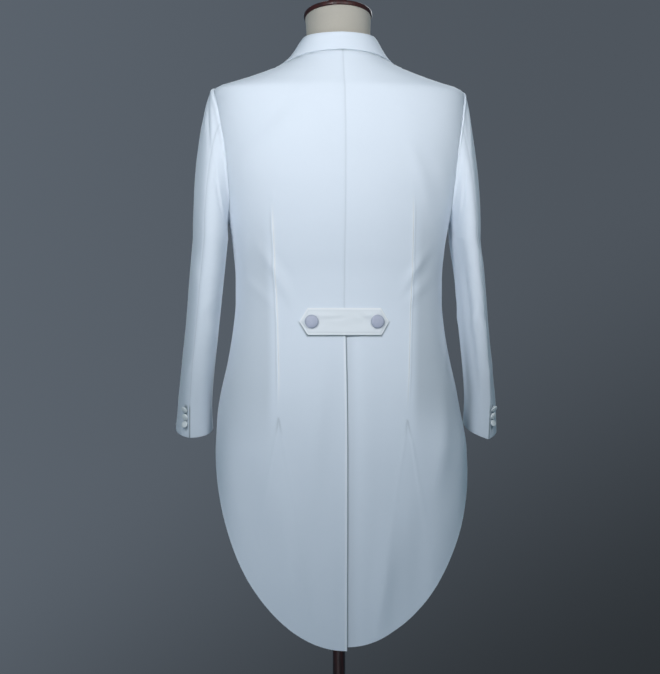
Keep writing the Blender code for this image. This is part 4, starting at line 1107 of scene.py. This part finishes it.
buttonLift = coatCut["laidGap"] + beltCut["thickness"] + 0.0004 + coatCut["seamGap"]
for side, sign in (("Left", 1), ("Right", -1)):
    angle = angleAtX(sign * buttonCut["beltX"], buttonCut["beltZ"], False)
    coveredButton(f"beltButton{side}", buttonCut, bodyPoint(angle, buttonCut["beltZ"], buttonLift),
                  bodyNormal(angle, buttonCut["beltZ"]), f"belt_button_{side.lower()}")
    turn = math.radians(sleeveCut["buttonTurn"])
    for k in range(3):
        down = sleeveCut["buttonDown"] - k * sleeveCut["buttonPitch"] / (sleeveCut["top"] - sleeveCut["cuff"])
        tilt = math.radians(cuffButtonCut["tilts"][k])
        facing = sleeveOut(side, turn, down)
        lift = 0.0004 + cuffButtonCut["diameter"] / 2 * abs(math.sin(tilt))
        spot = (sleevePoint(side, turn, down) + facing * lift) * np.array((sign, 1.0, 1.0))
        facing = (facing * math.cos(tilt) + np.array((0, 0, math.sin(tilt)))) * np.array((sign, 1.0, 1.0))
        coveredButton(f"cuffButton{side}{k + 1}", cuffButtonCut, spot, facing,
                      f"cuff_button_{side.lower()}_{k + 1}", cuffSatinPaintedPaler)
waistAngle = angleAtX(0.0, buttonCut["waistZ"], True)
coveredButton("waistButton", buttonCut,
              bodyPoint(waistAngle, buttonCut["waistZ"], wall + coatCut["lapGap"] + coatCut["seamGap"]),
              bodyNormal(waistAngle, buttonCut["waistZ"]), "waist_button")
print("buttons made")


# Dress form

formCut = {
    "ease": {"columns": ("z", "ease"),
             "rows": ((1.490, 0.0), (1.440, 0.0), (1.380, 0.003), (1.250, 0.005), (1.100, 0.010), (1.000, 0.014),
                      (0.900, 0.020), (0.790, 0.030))},
    "neck": {"columns": ("z", "half_x", "half_y", "y"),
             "rows": ((1.4880, 0.0740, 0.0600, -0.003), (1.4980, 0.0615, 0.0545, -0.004),
                      (1.5120, 0.0570, 0.0535, -0.006), (1.5260, 0.0560, 0.0545, -0.009),
                      (1.5430, 0.0565, 0.0560, -0.013), (1.560, 0.0575, 0.0575, -0.017))},
    "gap": 0.0011,
    "armholeEase": 0.012,
    "bottom": 0.800,
    "neckTop": 1.560,
    "neckStraight": 1.518,
    "neckTilt": math.radians(14),
    "seams": (70, 142, 180, 218, 290),
    "seamDip": 0.0007,
}
readEase, readNeck = readTable(formCut["ease"]), readTable(formCut["neck"])


def formLoops():
    seams = np.radians(formCut["seams"])
    angles = np.concatenate([seams, seams - 0.010, seams + 0.010, np.radians(np.arange(0, 360, 4))])
    angles = np.unique(np.round(angles % (2 * math.pi), 4))
    nearest = np.min(np.abs((angles[:, None] - seams[None, :] + math.pi) % (2 * math.pi) - math.pi), axis=1)
    groove = formCut["seamDip"] * (nearest < 0.002)
    bottom, loops = formCut["bottom"], []
    for halfX, halfY, z in ((0.10, 0.055, bottom), (0.162, 0.088, bottom + 0.006)):
        loops.append(np.stack((halfX * np.sin(angles), halfY * np.cos(angles), np.full(angles.shape, z)), -1))
    heights = (0.830, 0.865, 0.910, 0.960, 1.015, 1.065, 1.115, 1.165, 1.21, 1.26, 1.31, 1.36, 1.40, 1.420,
               1.431, 1.440, 1.449, 1.458, 1.468, 1.478)
    for z in heights:
        tuck = smoothStep((0.865 - z) / 0.065) * 0.016
        side = smoothStep((np.abs(np.sin(angles)) - 0.55) / 0.35)
        height = smoothStep((1.452 - z) / 0.022) * smoothStep((z - 1.150) / 0.040)
        ease = wall + formCut["gap"] + readEase("ease", z) + formCut["armholeEase"] * side * height
        loops.append(bodyPoint(angles, z, -ease - tuck - groove))
    for z in (1.4880, 1.4940, 1.5010, 1.5120, 1.5260, 1.5430, formCut["neckTop"]):
        halfX, halfY, y = (readNeck(name, z) for name in ("half_x", "half_y", "y"))
        climb = (z - formCut["neckStraight"]) / (formCut["neckTop"] - formCut["neckStraight"])
        lean = max(halfY * math.tan(formCut["neckTilt"]) * climb, 0.0)
        loops.append(np.stack(((halfX - groove) * np.sin(angles), y + (halfY - groove) * np.cos(angles),
                               z + lean * np.cos(angles)), -1))
    return refined(np.array(loops), 4)


formTorso = loopPiece("formTorso", formLoops(), formLinen, ["form_torso"])


def turnedPiece(name, profile, centre, axis, steps, node):
    # Turns a profile of (radius, height) round an axis.
    out = Vector(axis).normalized()
    across = out.orthogonal().normalized()
    axes = np.array((across, out.cross(across), out))
    turns = np.linspace(0, 2 * math.pi, steps, endpoint=False)
    smooth = refined(np.array(profile, float), 4)
    rings = [np.stack((r * np.cos(turns), r * np.sin(turns), np.full(steps, h)), -1) @ axes + np.array(centre)
             for r, h in smooth]
    return loopPiece(name, np.array(rings), lacquerRed, [node])


standCut = {"capRadius": 0.0585, "capHeight": 0.009, "knobHeight": 0.046, "knobRadius": 0.018, "stem": 0.012,
            "pole": 0.011, "base": 0.190, "baseHeight": 0.034}


def standProfiles():
    capR, capH = standCut["capRadius"], standCut["capHeight"]
    cap = [(capR - 0.003, 0.0), (capR + 0.0006, 0.0010), (capR + 0.0015, 0.0045), (capR + 0.0006, 0.0082),
           (capR - 0.004, capH + 0.0004), (capR * 0.55, capH + 0.0015), (0.002, capH + 0.002)]
    foot = capH + 0.002 + 2 * coatCut["seamGap"]
    ball, radius, stem = foot + standCut["knobHeight"] - standCut["knobRadius"], standCut["knobRadius"], standCut["stem"]
    neck = math.asin(stem * 0.75 / radius)
    knob = [(stem * 1.3, foot), (stem * 1.25, foot + 0.002), (stem, foot + 0.004), (stem * 0.94, foot + 0.008)]
    knob += [(max(radius * math.sin(a), 0.0006), ball + radius * math.cos(a))
             for a in np.linspace(math.pi - neck, 0, 14)]
    pole, top, low = standCut["pole"], formCut["bottom"] - coatCut["seamGap"], standCut["baseHeight"] + coatCut["seamGap"]
    post = [(pole + 0.013, low), (pole + 0.011, low + 0.010), (pole + 0.004, low + 0.026), (pole, low + 0.034),
            (pole, low + 0.20), (pole, 0.55), (pole, top - 0.020), (pole + 0.012, top - 0.012), (pole + 0.012, top)]
    wide, tall = standCut["base"], standCut["baseHeight"]
    base = [(wide - 0.003, 0.0), (wide, 0.003), (wide, tall * 0.32), (wide - 0.003, tall * 0.38)]
    base += [(wide - 0.030 + 0.022 * math.sin(a), tall * (0.38 + 0.62 * math.cos(a)))
             for a in np.linspace(math.pi / 2, 0, 8)]
    base += [(0.060, tall), (0.004, tall)]
    return cap, knob, post, base


capTurn = np.array((0.0, -math.sin(formCut["neckTilt"]), math.cos(formCut["neckTilt"])))
capFoot = np.array((0.0, formCut["neck"]["rows"][-1][3], formCut["neckTop"])) + capTurn * coatCut["seamGap"]
capProfile, knobProfile, poleProfile, baseProfile = standProfiles()
turnedPiece("neckCap", capProfile, capFoot, capTurn, 96, "neck_cap")
turnedPiece("neckKnob", knobProfile, capFoot, capTurn, 64, "neck_knob")
turnedPiece("standPole", poleProfile, (0, 0, 0), (0, 0, 1), 48, "stand_pole")
turnedPiece("standBase", baseProfile, (0, 0, 0), (0, 0, 1), 128, "stand_base")
print("form and stand made")


# Floor, camera and light

studio = {
    "floorRadius": 1.55,
    "cameraHeight": 1.0,
    "cameraDistance": 3.2,
    "cameraTurn": math.radians(5.6),
    "lens": 97.7,
    "sensor": 36.0,
    "shift": -9 / 674,
    "wallLight": (0.108, 0.130, 0.158, 1.0),
    "wall": (0.078, 0.093, 0.112, 1.0),
    "wallDark": (0.026, 0.031, 0.036, 1.0),
    "fill": (0.32, 0.73, 1.0, 1.0),
    "fillStrength": 0.145,
}


def makeFloor():
    floor = Finish("paleFloor", {"Specular IOR Level": 0.2})
    soft = floor.noise(3.0, 3.0)
    grit = floor.noise(160.0, 2.0)
    floor.give({"Base Color": floor.mix(soft * 0.7 + grit * 0.3, (0.60, 0.61, 0.62, 1.0), (0.68, 0.69, 0.70, 1.0)),
                "Roughness": 0.70 + grit * 0.1})
    turns = np.linspace(0, 2 * math.pi, 96, endpoint=False)
    rim = [(studio["floorRadius"] * math.cos(a), studio["floorRadius"] * math.sin(a), -0.0005) for a in turns]
    mesh = bpy.data.meshes.new("floor")
    mesh.from_pydata(rim, [], [tuple(range(len(rim)))])
    disc = bpy.data.objects.new("floor", mesh)
    bpy.context.scene.collection.objects.link(disc)
    mesh.materials.append(floor.material)


def makeCamera():
    turn, far = studio["cameraTurn"], studio["cameraDistance"]
    camera = bpy.data.cameras.new("camera")
    camera.sensor_fit = "VERTICAL"
    camera.sensor_height = studio["sensor"]
    camera.lens = studio["lens"]
    camera.shift_x = studio["shift"]
    holder = bpy.data.objects.new("camera", camera)
    bpy.context.scene.collection.objects.link(holder)
    holder.location = (far * math.sin(turn), far * math.cos(turn), studio["cameraHeight"])
    holder.rotation_euler = (math.pi / 2, 0.0, math.pi - turn)
    bpy.context.scene.camera = holder


def softLight(name, spot, aim, size, energy, colour, spread=180):
    lamp = bpy.data.lights.new(name, "AREA")
    lamp.shape = "RECTANGLE"
    lamp.size, lamp.size_y = size
    lamp.energy = energy
    lamp.color = colour
    lamp.spread = math.radians(spread)
    holder = bpy.data.objects.new(name, lamp)
    bpy.context.scene.collection.objects.link(holder)
    holder.location = spot
    holder.rotation_euler = (Vector(aim) - Vector(spot)).to_track_quat("-Z", "Y").to_euler()


def makeWorld():
    # A grey wall, darker towards the wearer's lower right, is seen; a cool even fill is shed.
    world = bpy.data.worlds.new("studio")
    bpy.context.scene.world = world
    world.use_nodes = True
    sky = Nodes(world.node_tree)
    x, _, z = sky.split(sky.add("ShaderNodeTexCoord", out="Generated"))
    corner = sky.ramp(z + x * 0.55, -0.05, -0.34)
    grey = sky.mix(sky.ramp(x, 0.20, -0.25), studio["wallLight"], studio["wall"])
    seen = sky.add("ShaderNodeBackground", None, {0: sky.mix(corner, grey, studio["wallDark"])})
    shed = sky.add("ShaderNodeBackground", None, {0: studio["fill"], 1: studio["fillStrength"]})
    direct = sky.add("ShaderNodeLightPath", out="Is Camera Ray")
    both = sky.add("ShaderNodeMixShader", None, {0: direct, 1: shed, 2: seen})
    sky.join(both, world.node_tree.nodes["World Output"].inputs["Surface"])


makeFloor()
makeCamera()
makeWorld()
softLight("keyLeft", (0.90, 2.05, 2.20), (0.14, 0.10, 1.42), (0.5, 0.5), 2.4, (0.98, 0.98, 1.0), 50)
softLight("keyRight", (-0.90, 2.05, 2.20), (-0.14, 0.10, 1.42), (0.5, 0.5), 1.5, (1.0, 0.98, 0.98), 50)
softLight("low", (0.90, 2.20, 0.50), (0.10, 0.10, 0.80), (1.0, 0.8), 9.2, (0.89, 0.92, 1.0))
softLight("front", (-0.8, -2.8, 2.4), (0.0, 0.0, 1.2), (1.8, 1.4), 45.0, (0.93, 0.96, 1.0))
bpy.context.scene.view_settings.view_transform = "Standard"
print("studio made")
